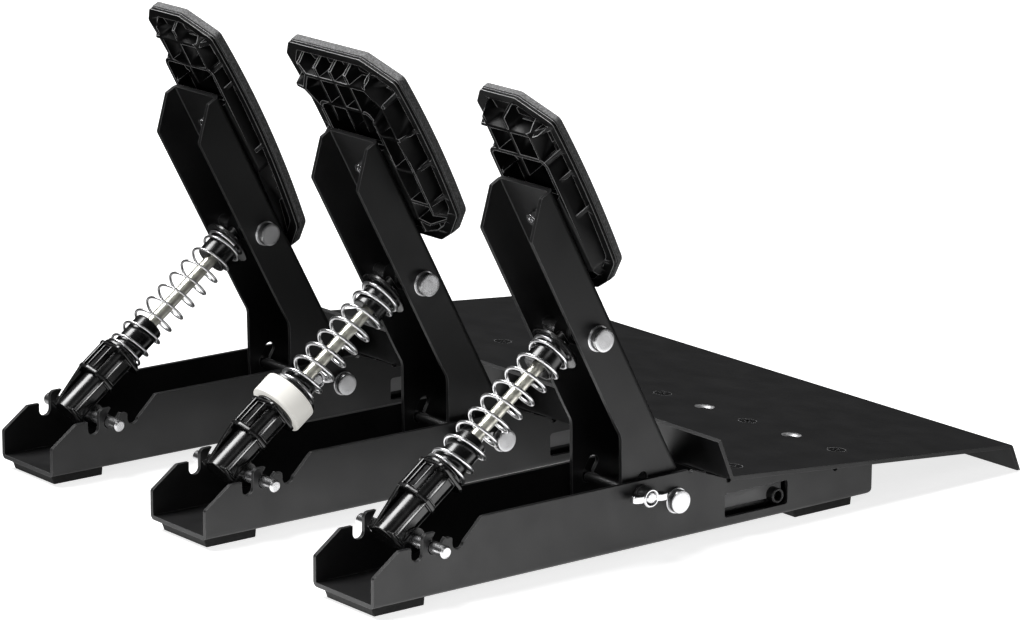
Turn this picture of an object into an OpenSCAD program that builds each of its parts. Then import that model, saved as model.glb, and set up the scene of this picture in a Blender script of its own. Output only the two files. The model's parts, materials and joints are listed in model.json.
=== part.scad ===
// Three-pedal set for sim racing: clutch, brake and throttle on folded steel channels.
// The work frame has +X to the driver's right and +Y away from the driver. It starts
// at the brake channel's open end, on its underside, and place() moves it to the part's origin.

/* [Sheet metal] */
// Thickness of every folded steel sheet
sheet_t = 2; // [1.6:0.1:2.4]
// Inner radius of the bends
bend_r = 0.6; // [0.3:0.1:1]

/* [Base channels] */
// Distance between the centre lines of two pedals
pedal_pitch = 128.5; // [115:0.5:150]
// Outer width of a base channel
channel_w = 45; // [44:0.5:50]
// Length of a base channel
channel_l = 295; // [290:1:310]
// Height of the walls beside the pedal arm
wall_h = 32; // [31:0.5:36]
// Height of the walls at the open end
end_wall_h = 14.2; // [10:0.1:18]
// Height of the walls at the first pin notch
notch_wall_h = 24.3; // [23.5:0.1:26]
// Height of the hook that holds the damper pin
hook_h = 29.5; // [28.5:0.1:31]
// Width of the open pin notches
notch_w = 6.5; // [6.3:0.1:7]
// Distance between neighbouring pin notches
notch_step = 13.6; // [12.5:0.1:14]

/* [Linkage] */
// Distance of the pivot axle behind the open end
pivot_back = 172.5; // [168:0.5:176]
// Height of the pivot axle above the channel's underside
pivot_h = 19.1; // [18:0.1:21]
// Distance of the lower damper pin behind the open end
lower_pin_back = 32.9; // [32:0.1:34]
// Height of the lower damper pin above the channel's underside
lower_pin_h = 22.6; // [22:0.1:24]
// Distance from the pivot axle to the upper damper pin
upper_pin_up = 94; // [88:0.5:100]
// Lean of the pedal arm above the horizontal
arm_lean = 61.8; // [58:0.1:66]

/* [Pedal arm] */
// Gap between a side of the pedal arm and the channel's wall
arm_gap = 1.75; // [1.25:0.05:2.5]
// Height of the arm above the pivot axle
arm_top = 169.6; // [160:0.1:175]
// Depth of the arm's side walls
arm_depth = 21; // [19:0.1:23]
// Distance from the arm's web to the line through its pins
pin_line = 10.9; // [10:0.1:11.5]
// Width of the curved stop slot
slot_w = 6; // [5.6:0.1:7]
// Travel that the curved slot allows
slot_travel = 20; // [16:0.5:22]

/* [Heel plate] */
// Width of the heel plate
plate_w = 376; // [340:1:420]
// Length of the heel plate from bend to bend
plate_l = 181.3; // [170:0.1:200]
// Distance from the left channel's side to the plate's left edge
plate_margin = 1.5; // [1:0.5:6]
// Distance of the plate's front bend behind the open end
plate_back = 206.2; // [205:0.1:209]
// Height of the plate's top at its front bend
plate_h = 24.8; // [23.5:0.1:27]
// Slope of the plate down towards the driver
plate_slope = 5.05; // [3:0.05:5.5]
// Length of the front flange
front_flange = 20.4; // [15:0.1:26]
// Lean of both flanges from the upright
flange_lean = 23; // [10:1:30]

/* [Fasteners] */
// Diameter of the pivot axle and the damper pins
pin_d = 6; // [5:0.1:6.2]
// Diameter of the pin heads
pin_head_d = 11; // [10:0.1:12.5]
// Height of the pin heads
pin_head_h = 4.2; // [3:0.1:5]
// Diameter of the plain washers
washer_d = 12.4; // [12:0.1:14]
// Thickness of the plain washers
washer_t = 1.2; // [0.8:0.1:1.6]
// Diameter of the stop bolt
stop_d = 5; // [4:0.1:5.4]
// Diameter of the black washer under the wing nut
stop_washer_d = 10.2; // [10:0.1:13]
// Span of the wing nut
wing_span = 21.5; // [18:0.5:24]
// Free end of the lower damper pin outside the channel wall
pin_stub = 9.5; // [6:0.1:12]
// Diameter of the heel plate's holes
plate_hole_d = 5.5; // [5.2:0.1:6.5]
// Diameter of the heel plate's countersinks
plate_sink_d = 10; // [9.6:0.1:11]
// Diameter of the heel plate's screws
plate_screw_d = 5; // [4:0.1:5.1]

/* [Damper] */
// Offset of the lower pin below the damper's axis
lug_drop = 6.7; // [5:0.1:8]
// Diameter of the piston rod
rod_d = 5.5; // [5:0.1:6]
// Diameter of the sleeve
sleeve_d = 15; // [14:0.1:16]
// Length from the lower pin to the top of the sleeve
sleeve_top = 54; // [50:0.5:58]
// Length from the lower pin to the spring seat
seat_up = 33.4; // [32:0.1:35]
// Half width of the housing's ribs and flanges
housing_half = 10; // [9:0.1:11]
// Width of the housing's ribs
housing_rib_w = 7; // [6:0.1:8]
// Diameter of the housing's core
housing_core_d = 14.6; // [12:0.1:16]
// Diameter of the spring cap's flange
cap_flange_d = 25; // [23:0.1:27]
// Diameter of the spring cap's body
cap_d = 15.4; // [14.5:0.1:15.5]
// Distance from the upper pin to the spring cap's flange
cap_drop = 12.4; // [11:0.1:15]
// Length of the spring cap's body
cap_l = 12; // [9:0.1:15]

/* [Springs] */
// Coil diameter of the throttle spring, over the wire
throttle_coil_d = 19.4; // [19.2:0.1:22]
// Wire diameter of the throttle spring
throttle_wire_d = 1.2; // [1:0.1:1.4]
// Coil diameter of the clutch spring, over the wire
clutch_coil_d = 19.8; // [19.6:0.1:22]
// Wire diameter of the clutch spring
clutch_wire_d = 1.4; // [1:0.1:1.6]
// Coil diameter of the brake spring, over the wire
brake_coil_d = 20.2; // [20:0.1:22]
// Wire diameter of the brake spring
brake_wire_d = 1.6; // [1.2:0.1:1.7]
// Rise of one open curl
curl_pitch = 8.6; // [7.5:0.1:10]
// Outer diameter of the brake's elastomer
elastomer_d = 27.7; // [24:0.1:29]
// Height of the brake's elastomer
elastomer_h = 11; // [8:0.5:14]
// Thickness of the washer on the elastomer
elastomer_washer_t = 1.6; // [1:0.1:2]

/* [Pads] */
// Half width of the clutch and throttle pads
narrow_half = 26.3; // [25:0.1:30]
// Half width of the brake pad
wide_half = 41.8; // [38:0.1:46]
// Height of the pads above the top of the arm
pad_rise = 42.2; // [36:0.1:46]
// Length of the clutch pad below the top of the arm
clutch_pad_drop = 64.2; // [60:0.1:72]
// Length of the brake pad below the top of the arm
brake_pad_drop = 62.8; // [60:0.1:72]
// Length of the throttle pad below the top of the arm
throttle_pad_drop = 98.7; // [90:0.1:106]
// Reach of a pad's box past the arm's sides
box_reach = 2; // [1.5:0.1:2.5]
// Distance from the arm's web to the free edges of the ribs
rib_edge = 1.6; // [1:0.1:2.4]
// Thickness of the ribs and walls behind the pads
rib_t = 1.8; // [1.2:0.1:2.4]
// Thickness of a pad's cover
cover_t = 2.6; // [2:0.1:3]
// Gap between a pad's cover and its carrier's rim
pad_groove = 0.5; // [0.3:0.1:0.8]

/* [Feet and sensors] */
// Thickness of the rubber feet
foot_h = 5; // [4:0.1:7]
// Inset of the feet from the channel's sides
foot_inset = 5; // [3:0.5:8]
// Length of the front feet
front_foot_l = 30; // [20:1:40]
// Length of the rear feet
rear_foot_l = 38; // [25:1:42]
// Length of a sensor module
module_l = 46; // [42:0.5:48]
// Diameter of the cable port's opening
port_d = 5; // [4:0.1:5.4]

/* [Hidden] */
$fn = 48;
running = 0.05;
air = 0.3;
eye_play = 1.2;
spin = 360;

pedal_x = [-pedal_pitch, 0, pedal_pitch];
clutch = 0;
brake = 1;
throttle = 2;
channel_in = channel_w / 2 - sheet_t;
arm_w = 2 * (channel_in - arm_gap);
pivot = [-pivot_back, pivot_h];
lower_pin = [-lower_pin_back, lower_pin_h];
arm_up = [cos(arm_lean), sin(arm_lean)];
upper_pin = pivot + upper_pin_up * arm_up;

// The damper's axis passes over the lower pin, so it slopes less than the line of the pins
pin_gap = norm(upper_pin - lower_pin);
pin_slope = atan2(upper_pin[1] - lower_pin[1], lower_pin[0] - upper_pin[0]);
damper_slope = pin_slope - asin(lug_drop / pin_gap);
axis_l = sqrt(pow(pin_gap, 2) - pow(lug_drop, 2));

// The stop bolt crosses the arm's curved slot at the slot's lower end
stop_r = 21;
stop_angle = 16.6;
stop_bolt_at = pivot + stop_r * [cos(stop_angle), sin(stop_angle)];

// Heel plate, in its own frame: the front bend is the origin and its top is z = 0
plate_left = -pedal_pitch - channel_w / 2 - plate_margin;
plate_right = plate_left + plate_w;
rear_bend_z = plate_h - plate_l * sin(plate_slope);
rear_drop = (rear_bend_z + foot_h) / cos(flange_lean);
rear_row = 86.7;
front_row = 14.4;
front_screw_x = 7.3;
hole_step = pedal_pitch / 4;
plate_nut_h = 2.2;
spare_steps = [-2, 2];
open_steps = [-3, -1, 1, 3];

// Fastener heads stand on the outside of the channel and of the arm
channel_side = channel_w / 2;
arm_side = arm_w / 2;
box_half = arm_side + box_reach;
nut_h = 5;
nut_d = 11.5;
wing_hub_h = 6;
wing_hub_d = 9;

part_left = plate_left + plate_margin - max(pin_stub, washer_t + wing_hub_h + 2);
part_right = plate_right;
part_back = plate_back + plate_l * cos(plate_slope) + rear_drop * sin(flange_lean);
part_shift = [-(part_left + part_right) / 2, part_back / 2, foot_h];

steel_black = [0.08, 0.08, 0.085];
plastic_black = [0.05, 0.05, 0.055];
bright_steel = [0.82, 0.82, 0.84];

// Outlines with rounded corners: every corner is [across, up, radius]
function unit(v) = v / norm(v);
function rounded_corner(before, here, after, r, steps) =
    let (a = unit(before - here),
        b = unit(after - here),
        half = acos(a * b) / 2,
        centre = here + unit(a + b) * (r / sin(half)),
        first = here + a * (r / tan(half)) - centre,
        last = here + b * (r / tan(half)) - centre,
        start = atan2(first[1], first[0]),
        sweep = ((atan2(last[1], last[0]) - start + spin + spin / 2) % spin) - spin / 2)
    [for (i = [0:steps]) centre + r * [cos(start + sweep * i / steps), sin(start + sweep * i / steps)]];
function flat_corner(c) = [c[0], c[1]];
function rounded(corners, steps = 5) =
    let (count = len(corners))
    [for (i = [0:count - 1])
        let (c = corners[i],
            before = flat_corner(corners[(i + count - 1) % count]),
            after = flat_corner(corners[(i + 1) % count]))
        each c[2] == 0 ? [flat_corner(c)] : rounded_corner(before, flat_corner(c), after, c[2], steps)];

module rounded_outline(corners, steps = 5) {
    polygon(rounded(corners, steps));
}

// Places for the pieces

module place() {
    translate(part_shift) children();
}

module at_pedal(i) {
    place() translate([pedal_x[i], 0, 0]) children();
}

// Local z runs up the arm's web and local y points away from the driver
module arm_frame() {
    translate([0, pivot[0], pivot[1]]) rotate([arm_lean - 90, 0, 0]) children();
}

// Local z runs up the damper's axis, from the point over the lower pin
module damper_frame() {
    translate([0, upper_pin[0], upper_pin[1]]) rotate([90 - damper_slope, 0, 0])
        translate([0, 0, -axis_l]) children();
}

module plate_frame() {
    translate([0, -plate_back, plate_h]) rotate([plate_slope, 0, 0]) children();
}

// Local origin at the top edge of the arm's web; y points to the driver's side of the web as depth
module pad_frame() {
    arm_frame() translate([0, -pin_line, arm_top]) rotate([90, 0, 0]) children();
}

// Extrudes an outline drawn in Y and Z along X, centred
module across(width) {
    rotate([90, 0, 90]) linear_extrude(width, center = true) children();
}

// Cylinder along X between two places
module x_cylinder(from, to, d) {
    translate([from, 0, 0]) rotate([0, 90, 0]) cylinder(h = to - from, d = d);
}

module at_yz(p) {
    translate([0, p[0], p[1]]) children();
}

// Folded U section, open at the top, drawn in X and Z
module u_section(width, height) {
    outer_r = bend_r + sheet_t;
    difference() {
        rounded_outline([[-width / 2, 0, outer_r], [width / 2, 0, outer_r],
            [width / 2, height, 0], [-width / 2, height, 0]]);
        rounded_outline([[-width / 2 + sheet_t, sheet_t, bend_r], [width / 2 - sheet_t, sheet_t, bend_r],
            [width / 2 - sheet_t, height + 1, 0], [-width / 2 + sheet_t, height + 1, 0]]);
    }
}

// Straight slot with round ends
module slot_outline(from, to, width) {
    along = to - from;
    translate(from) circle(d = width);
    translate(to) circle(d = width);
    translate(from) rotate(atan2(along[1], along[0]))
        translate([0, -width / 2]) square([norm(along), width]);
}

// Base channels

hook_slot_lean = [-0.57, 0.82];
first_notch = [lower_pin[0] + 9.2, notch_wall_h - 3.4];
last_notch = [lower_pin[0] - notch_step, lower_pin[1]];
crest_back = 181.5;
window_back = [202.5, 241.5];
window_h = [4.9, 16.5];
window_r = 1.6;
carrier_notch_back = 271.5;
relief_d = 3;
rear_tab_l = 8;
rear_tab_w = 26;
rear_wall_inset = 12;

function plate_under(back) = plate_h - sheet_t / cos(plate_slope) - (back - plate_back) * tan(plate_slope);

module wall_outline() {
    hook_front = first_notch[0] - notch_w / 2;
    last_edge = last_notch[0] - notch_w / 2;
    slope_l = wall_h - lower_pin_h;
    difference() {
        rounded_outline([[0, 0, 0], [0, end_wall_h, 1.5],
            [end_wall_h - notch_wall_h - 4, notch_wall_h, 1.5],
            [hook_front, notch_wall_h, 0], [hook_front, hook_h, 2.6], [lower_pin[0] - 3.5, hook_h, 0.8],
            [lower_pin[0] - 7, lower_pin[1] + 2.9, 0], [last_notch[0] + notch_w / 2, lower_pin[1] + 2.9, 0.8],
            [last_notch[0] + notch_w / 2, lower_pin[1] - 0.6, 0], [last_edge, lower_pin[1] - 0.6, 0],
            [last_edge - slope_l - 1, wall_h, 2], [-crest_back, wall_h, 6],
            [-plate_back, plate_under(plate_back), 0],
            [-channel_l, plate_under(channel_l), 0], [-channel_l, 0, 3]]);
        slot_outline(first_notch, first_notch + [0, 10], notch_w);
        slot_outline(last_notch, last_notch + [0, 10], notch_w);
        slot_outline(lower_pin, lower_pin + 12 * hook_slot_lean, pin_d + 2 * air);
        translate([-crest_back, wall_h]) circle(d = relief_d);
        translate([-plate_back + 1.5, plate_under(plate_back) + 0.4]) circle(d = relief_d);
        translate([-carrier_notch_back, plate_under(carrier_notch_back)]) circle(d = relief_d);
    }
}

module channel_holes() {
    bore_l = channel_w + 2;
    at_yz(pivot) x_cylinder(-bore_l / 2, bore_l / 2, pin_d + 2 * running);
    at_yz(stop_bolt_at) x_cylinder(-bore_l / 2, bore_l / 2, stop_d + 2 * running);
    translate([-channel_side - 1, 0, 0]) rotate([90, 0, 90]) linear_extrude(sheet_t + 2)
        rounded_outline([[-window_back[0], window_h[0], window_r], [-window_back[0], window_h[1], window_r],
            [-window_back[1], window_h[1], window_r], [-window_back[1], window_h[0], window_r]]);
}

// Flanges folded inwards under the heel plate, and the tab behind the rear wall
module carrier_flanges() {
    flange_from = 3;
    flange_to = carrier_notch_back - plate_back - relief_d;
    slit = 3;
    difference() {
        plate_frame() {
            for (side = [-1, 1]) translate([side > 0 ? slit / 2 : -channel_side + sheet_t / 2,
                -flange_to, -2 * sheet_t]) cube([channel_side - sheet_t / 2 - slit / 2,
                flange_to - flange_from, sheet_t]);
            translate([-rear_tab_w / 2, -(channel_l + rear_tab_l - plate_back), -2 * sheet_t])
                cube([rear_tab_w, rear_tab_l + rear_wall_inset + sheet_t, sheet_t]);
        }
        plate_frame() channel_screw_places() translate([0, 0, -3 * sheet_t])
            cylinder(h = 3 * sheet_t, d = plate_screw_d + 2 * running);
    }
    rear_wall_h = plate_under(channel_l - rear_wall_inset) - sheet_t / 2;
    translate([-rear_tab_w / 2, -channel_l + rear_wall_inset, sheet_t / 2])
        cube([rear_tab_w, sheet_t, rear_wall_h - sheet_t / 2]);
}

module base_channel() {
    color(steel_black) {
        difference() {
            intersection() {
                rotate([90, 0, 0]) linear_extrude(channel_l) u_section(channel_w, wall_h + 1);
                across(channel_w + 1) wall_outline();
            }
            channel_holes();
        }
        carrier_flanges();
    }
}

// Heel plate

// Screws of one channel, in the plate's frame
module channel_screw_places() {
    for (side = [-1, 1]) translate([side * front_screw_x, -front_row, 0]) children();
    translate([0, -rear_row, 0]) children();
}

module heel_plate() {
    bend_outer = bend_r + sheet_t;
    // Lean from the upright, seen from the plate, and the offset that keeps the sheet's thickness
    lean = flange_lean + plate_slope;
    flange_dir = [sin(lean), cos(lean)];
    rear_dir = -flange_dir;
    corner = tan((90 - lean) / 2) * sheet_t;
    color(steel_black) place() plate_frame() difference() {
        translate([(plate_left + plate_right) / 2, 0, 0]) across(plate_w) rounded_outline([
            [0, 0, bend_r],
            [front_flange * flange_dir[0], front_flange * flange_dir[1], 0],
            [front_flange * flange_dir[0] + sheet_t * flange_dir[1],
                front_flange * flange_dir[1] - sheet_t * flange_dir[0], 0],
            [corner, -sheet_t, bend_outer],
            [-plate_l + corner, -sheet_t, bend_r],
            [-plate_l + rear_drop * rear_dir[0] - sheet_t * rear_dir[1],
                rear_drop * rear_dir[1] + sheet_t * rear_dir[0], 0],
            [-plate_l + rear_drop * rear_dir[0], rear_drop * rear_dir[1], 0],
            [-plate_l, 0, bend_outer]]);
        plate_holes();
    }
}

module plate_hole() {
    sink = 1.2;
    translate([0, 0, -sheet_t - 1]) cylinder(h = sheet_t + 2, d = plate_hole_d);
    translate([0, 0, -sink]) cylinder(h = sink + 0.01, d1 = plate_hole_d, d2 = plate_sink_d);
    cylinder(h = 1, d = plate_sink_d);
}

module plate_holes() {
    for (x = pedal_x) translate([x, 0, 0]) channel_screw_places() plate_hole();
    for (i = concat(spare_steps, open_steps)) translate([i * hole_step, -rear_row, 0]) plate_hole();
}

// A countersunk screw through as much sheet as given, with its thin nut under it
module plate_screw(grip) {
    head_h = 1.1;
    head_gap = 0.1;
    socket_d = 3;
    difference() {
        union() {
            translate([0, 0, -head_h - head_gap])
                cylinder(h = head_h, d1 = plate_screw_d, d2 = plate_sink_d - 0.7);
            translate([0, 0, -grip - plate_nut_h]) cylinder(h = grip + plate_nut_h - head_h, d = plate_screw_d);
        }
        translate([0, 0, -head_h]) cylinder(h = head_h + 1, d = socket_d, $fn = 6);
    }
}

module plate_nut(grip) {
    difference() {
        translate([0, 0, -grip - plate_nut_h]) cylinder(h = plate_nut_h, d = 9, $fn = 6);
        translate([0, 0, -grip - plate_nut_h - 1]) cylinder(h = plate_nut_h + 2, d = plate_screw_d + 2 * running);
    }
}

module plate_screws() {
    color(plastic_black) place() plate_frame() {
        for (x = pedal_x) translate([x, 0, 0]) channel_screw_places() plate_screw(2 * sheet_t);
        for (i = spare_steps) translate([i * hole_step, -rear_row, 0]) plate_screw(sheet_t);
    }
}

module plate_nuts() {
    color(bright_steel) place() plate_frame() {
        for (x = pedal_x) translate([x, 0, 0]) channel_screw_places() plate_nut(2 * sheet_t);
        for (i = spare_steps) translate([i * hole_step, -rear_row, 0]) plate_nut(sheet_t);
    }
}

// Rubber feet under both ends of every channel

module foot(from, length) {
    lead = 2;
    width = channel_w - 2 * foot_inset;
    across(width) rounded_outline([[-from, 0, 0], [-from - length, 0, 0],
        [-from - length + lead / 4, -foot_h, 0], [-from - lead, -foot_h, 0]]);
}

module rubber_feet() {
    front_gap = 2;
    rear_gap = 8;
    color([0.03, 0.03, 0.03]) for (i = [clutch:throttle]) at_pedal(i) {
        foot(front_gap, front_foot_l);
        foot(channel_l - rear_gap - rear_foot_l, rear_foot_l);
    }
}

// Pivot: axle, washers between the arm and the channel

module pivot_washers() {
    t = channel_in - arm_side - air;
    outer_d = 2.5 * pin_d;
    color([0.75, 0.75, 0.72]) for (i = [clutch:throttle]) at_pedal(i) at_yz(pivot) difference() {
        union() {
            x_cylinder(-channel_in, -channel_in + t, outer_d);
            x_cylinder(channel_in - t, channel_in, outer_d);
        }
        x_cylinder(-channel_w, channel_w, pin_d + 2 * running);
    }
}

module headed_pin(side, d) {
    x_cylinder(-side - pin_head_h, -side, pin_head_d);
    x_cylinder(-side - 0.1, side + nut_h, d);
}

module pivot_axle(i) {
    color(bright_steel) at_pedal(i) at_yz(pivot) {
        headed_pin(channel_side, pin_d);
        x_cylinder(channel_side, channel_side + nut_h - 1, nut_d, $fn = 6);
    }
}

module stop_bolt(i) {
    color(bright_steel) at_pedal(i) at_yz(stop_bolt_at) {
        x_cylinder(-channel_side - washer_t - wing_hub_h - 1, channel_side + 0.1, stop_d);
        x_cylinder(channel_side, channel_side + 3.5, 9, $fn = 6);
        x_cylinder(-channel_side - washer_t, -channel_side, stop_washer_d);
    }
}

module wing(side) {
    reach = wing_span / 2;
    hull() {
        translate([-wing_hub_h * 0.55, side * wing_hub_d * 0.3, 0])
            rotate([0, 90, 0]) cylinder(h = 3, d = 3.2, center = true, $fn = 24);
        translate([-wing_hub_h - 0.2, side * (reach - 2.6), 0])
            rotate([0, 0, 90]) rotate([90, 0, 0]) cylinder(h = 1.6, d = 5.2, center = true, $fn = 24);
    }
}

module wing_nut(i) {
    color(bright_steel) at_pedal(i) at_yz(stop_bolt_at) translate([-channel_side - washer_t, 0, 0])
        difference() {
            union() {
                rotate([0, -90, 0]) cylinder(h = wing_hub_h, d1 = wing_hub_d, d2 = wing_hub_d * 0.72);
                for (side = [-1, 1]) wing(side);
            }
            x_cylinder(-2 * wing_hub_h, 1, stop_d + 2 * running);
        }
}

// Pedal arm

arm_back = -pin_line;
arm_nose = arm_back + arm_depth;

// Side view of the arm: across is away from the web, up is along it
module arm_outline() {
    foot_reach = stop_r + slot_w + 2;
    rounded_outline([[arm_back, arm_top, 0], [arm_back + 7.3, arm_top, 0.8],
        [arm_nose, arm_top - 14.2, 2], [arm_nose, 52, 14], [arm_nose - 0.2, 44, 8],
        [foot_reach - 1.3, 9.1, 6], [3.5, -pin_line + 0.6, 4], [arm_back, -pin_line, pin_line - 0.4]], 8);
}

module arc_slot(from, sweep) {
    translate([stop_r * cos(from), stop_r * sin(from)]) circle(d = slot_w);
    translate([stop_r * cos(from + sweep), stop_r * sin(from + sweep)]) circle(d = slot_w);
    rotate([0, 0, from]) arc_band(sweep);
}

module arc_band(sweep) {
    steps = 12;
    inner = [for (i = [0:steps]) (stop_r - slot_w / 2) * [cos(sweep * i / steps), sin(sweep * i / steps)]];
    outer = [for (i = [steps:-1:0]) (stop_r + slot_w / 2) * [cos(sweep * i / steps), sin(sweep * i / steps)]];
    polygon(concat(inner, outer));
}

module pedal_arm(i) {
    // The bends end above the pivot in a relief cut
    web_from = 3;
    relief = sheet_t + bend_r + 0.2;
    pin_bore = pin_d + 2 * running;
    // The slot turns with the arm, so its angles count from the arm's own front
    slot_start = 90 - arm_lean + stop_angle;
    color(steel_black) at_pedal(i) arm_frame() difference() {
        intersection() {
            translate([0, arm_back, -pin_line - 1]) linear_extrude(arm_top + pin_line + 2)
                u_section(arm_w, 3 * stop_r);
            across(arm_w + 1) arm_outline();
        }
        translate([-arm_w, arm_back - 1, -pin_line - 2]) cube([2 * arm_w, 1 + relief, pin_line + 2 + web_from]);
        x_cylinder(-arm_w, arm_w, pin_bore);
        translate([0, 0, upper_pin_up]) x_cylinder(-arm_w, arm_w, pin_bore);
        across(arm_w + 1) arc_slot(slot_start - 0.5, slot_travel + 1);
        pad_screw_places() translate([0, 0, -2 * sheet_t]) cylinder(h = 3 * sheet_t, d = pad_screw_d + 2 * running);
    }
}

module upper_pin(i) {
    color(bright_steel) at_pedal(i) arm_frame() translate([0, 0, upper_pin_up]) {
        headed_pin(arm_side + washer_t, pin_d);
        x_cylinder(-arm_side - washer_t, -arm_side, washer_d);
        x_cylinder(arm_side, arm_side + nut_h, nut_d, $fn = 6);
    }
}

module lower_pin(i) {
    chamfer = 1;
    reach = channel_side + pin_stub;
    color(bright_steel) at_pedal(i) at_yz(lower_pin) {
        x_cylinder(-reach + chamfer, reach - chamfer, pin_d);
        for (side = [-1, 1]) translate([side * (reach - chamfer), 0, 0]) rotate([0, side * 90, 0])
            cylinder(h = chamfer, d1 = pin_d, d2 = pin_d - 1.6 * chamfer);
    }
}

module arm_magnet(i) {
    color([0.6, 0.6, 0.62]) at_pedal(i) arm_frame()
        translate([0, arm_back + sheet_t, 9]) rotate([-90, 0, 0]) cylinder(h = 2.5, d = 6);
}

// Pads: a curved cover on a ribbed carrier. Depth is measured from the arm's web.

// Depths of the rim and of the front in the crown's middle, and the crown's radius and middle
function pad_rim(i) = [10.2, 9.6, 7.6][i];
function pad_front(i) = [15.3, 15.9, 13.7][i];
function crown_r(i) = [600, 480, 520][i];
function crown_middle(i) = [-9, -10, -12][i];
pad_drop = [clutch_pad_drop, brake_pad_drop, throttle_pad_drop];
function pad_half(i) = i == brake ? wide_half : narrow_half;
function pad_middle(i) = (pad_rise - pad_drop[i]) / 2;
pad_screw_d = 4;

// Seen from behind the pedals: the left side is the one with the deeper lower chamfer
module pad_outline(i) {
    h = pad_half(i);
    low = -pad_drop[i];
    top_left = i == brake ? -22 : -h + 19.5;
    rounded_outline([[top_left, pad_rise, 3], [h - 8, pad_rise, 3], [h, pad_rise - 8.6, 3],
        [h, low + 14, 4], [h - 9, low, 4], [-h + 21, low, 6], [-h + 12, low + 5, 6],
        [-h + 0.6, low + 17.5, 5], [-h, pad_rise - 11, 3]]);
}

module shrunk_outline(i, inset) {
    h = pad_half(i);
    k = (h - inset) / h;
    middle = pad_middle(i);
    half_l = (pad_rise + pad_drop[i]) / 2;
    translate([0, middle]) scale([k, (half_l - inset) / half_l]) translate([0, -middle]) pad_outline(i);
}

// Everything up to the crowned surface that lies at the given depth in the pad's middle
module under_crown(i, depth) {
    r = crown_r(i);
    translate([0, crown_middle(i), depth - r]) rotate([0, 90, 0])
        cylinder(h = 4 * pad_half(i), r = r, center = true, $fn = 240);
}

// The part of an outline between two crowned surfaces
module pad_layer(i, from, to) {
    difference() {
        intersection() {
            linear_extrude(2 * pad_front(i)) children();
            under_crown(i, to);
        }
        under_crown(i, from);
    }
}

module pad_cover(i) {
    skirt = 2.6;
    color([0.11, 0.11, 0.11]) at_pedal(i) pad_frame() difference() {
        pad_layer(i, pad_rim(i) + rib_t + pad_groove, pad_front(i)) pad_outline(i);
        pad_layer(i, 0, pad_front(i) - cover_t) shrunk_outline(i, skirt);
    }
}

// Lines of ribs, each [across, up] from the pad's centre line and the top of the arm's web
function narrow_ribs(drop) = [
    [[-18, 41], [-16.1, 34], [-16.1, 14]],
    [[-1.3, 41], [-1.3, 4]],
    [[15.5, 41], [13.7, 27.6], [13.7, 14]],
    [[25, 27.6], [-25, 27.6]],
    [[-19, 13], [-25, 17]],
    [[19, 13], [25, 17]],
    [[-19, 1], [-25, 5]],
    [[19, 1], [25, 5]],
    [[-19, 13 - drop / 2], [-25, 17 - drop / 2]],
    [[19, 13 - drop / 2], [25, 17 - drop / 2]],
    [[0, -48], [0, 2 - drop]],
    [[-16, -47], [-10, 4 - drop]],
    [[16, -47], [18, 2 - drop]]];
brake_ribs = [
    [[-28, 41], [-25.7, 34.7], [-23.2, 28.6], [-31.6, 19.3], [-32.2, 1.7], [-33.2, -14.5], [-33.2, -50]],
    [[-11.9, 41], [-11.9, 3]],
    [[-0.4, 41], [-0.4, 4]],
    [[11.6, 41], [11.6, 5]],
    [[26, 41], [24.4, 34.7], [21.8, 28.6], [29, 19.4], [20.5, 8.6]],
    [[21.8, 28.6], [-23.2, 28.6]],
    [[-18, 8], [-33.7, 21.1], [-38, 24.7]],
    [[-19, 1.5], [-32.2, 1.5], [-40, 3]],
    [[-19, -17], [-33.2, -17], [-40, -15]],
    [[-19, -36], [-33.2, -36], [-40, -34]],
    [[29, 19.4], [40, 22]],
    [[19, -14], [40, -10]],
    [[19, -34], [40, -30]],
    [[-18, -47], [-33.2, -50]],
    [[-18, -47], [-20, -61]],
    [[0, -48], [0, -61]],
    [[18, -47], [28, -61]]];

module rib_lines(lines) {
    for (line = lines) for (k = [0:len(line) - 2]) let (run = line[k + 1] - line[k])
        translate(line[k]) rotate(atan2(run[1], run[0]))
            translate([-rib_t / 2, -rib_t / 2]) square([norm(run) + rib_t, rib_t]);
}

box_top = 14.8;
box_bottom = -48;
box_shift = 1;
module box_outline(inset) {
    half = box_half - inset;
    translate([box_shift, 0]) rounded_outline([
        [-half, box_bottom + inset, 4 - inset], [half, box_bottom + inset, 4 - inset],
        [half, box_top - inset, 5 - inset], [-half, box_top - inset, 5 - inset]]);
}

module box_wall() {
    difference() {
        box_outline(0);
        box_outline(rib_t);
    }
}

// Space of the ribs: it slopes up to the rim all round
module rib_space(i) {
    slope_from = 7.6;
    slope_to = 3.5;
    hull() {
        translate([0, 0, rib_edge]) linear_extrude(0.1) shrunk_outline(i, slope_from);
        translate([0, 0, pad_rim(i)]) linear_extrude(pad_front(i)) shrunk_outline(i, slope_to);
    }
}

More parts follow.
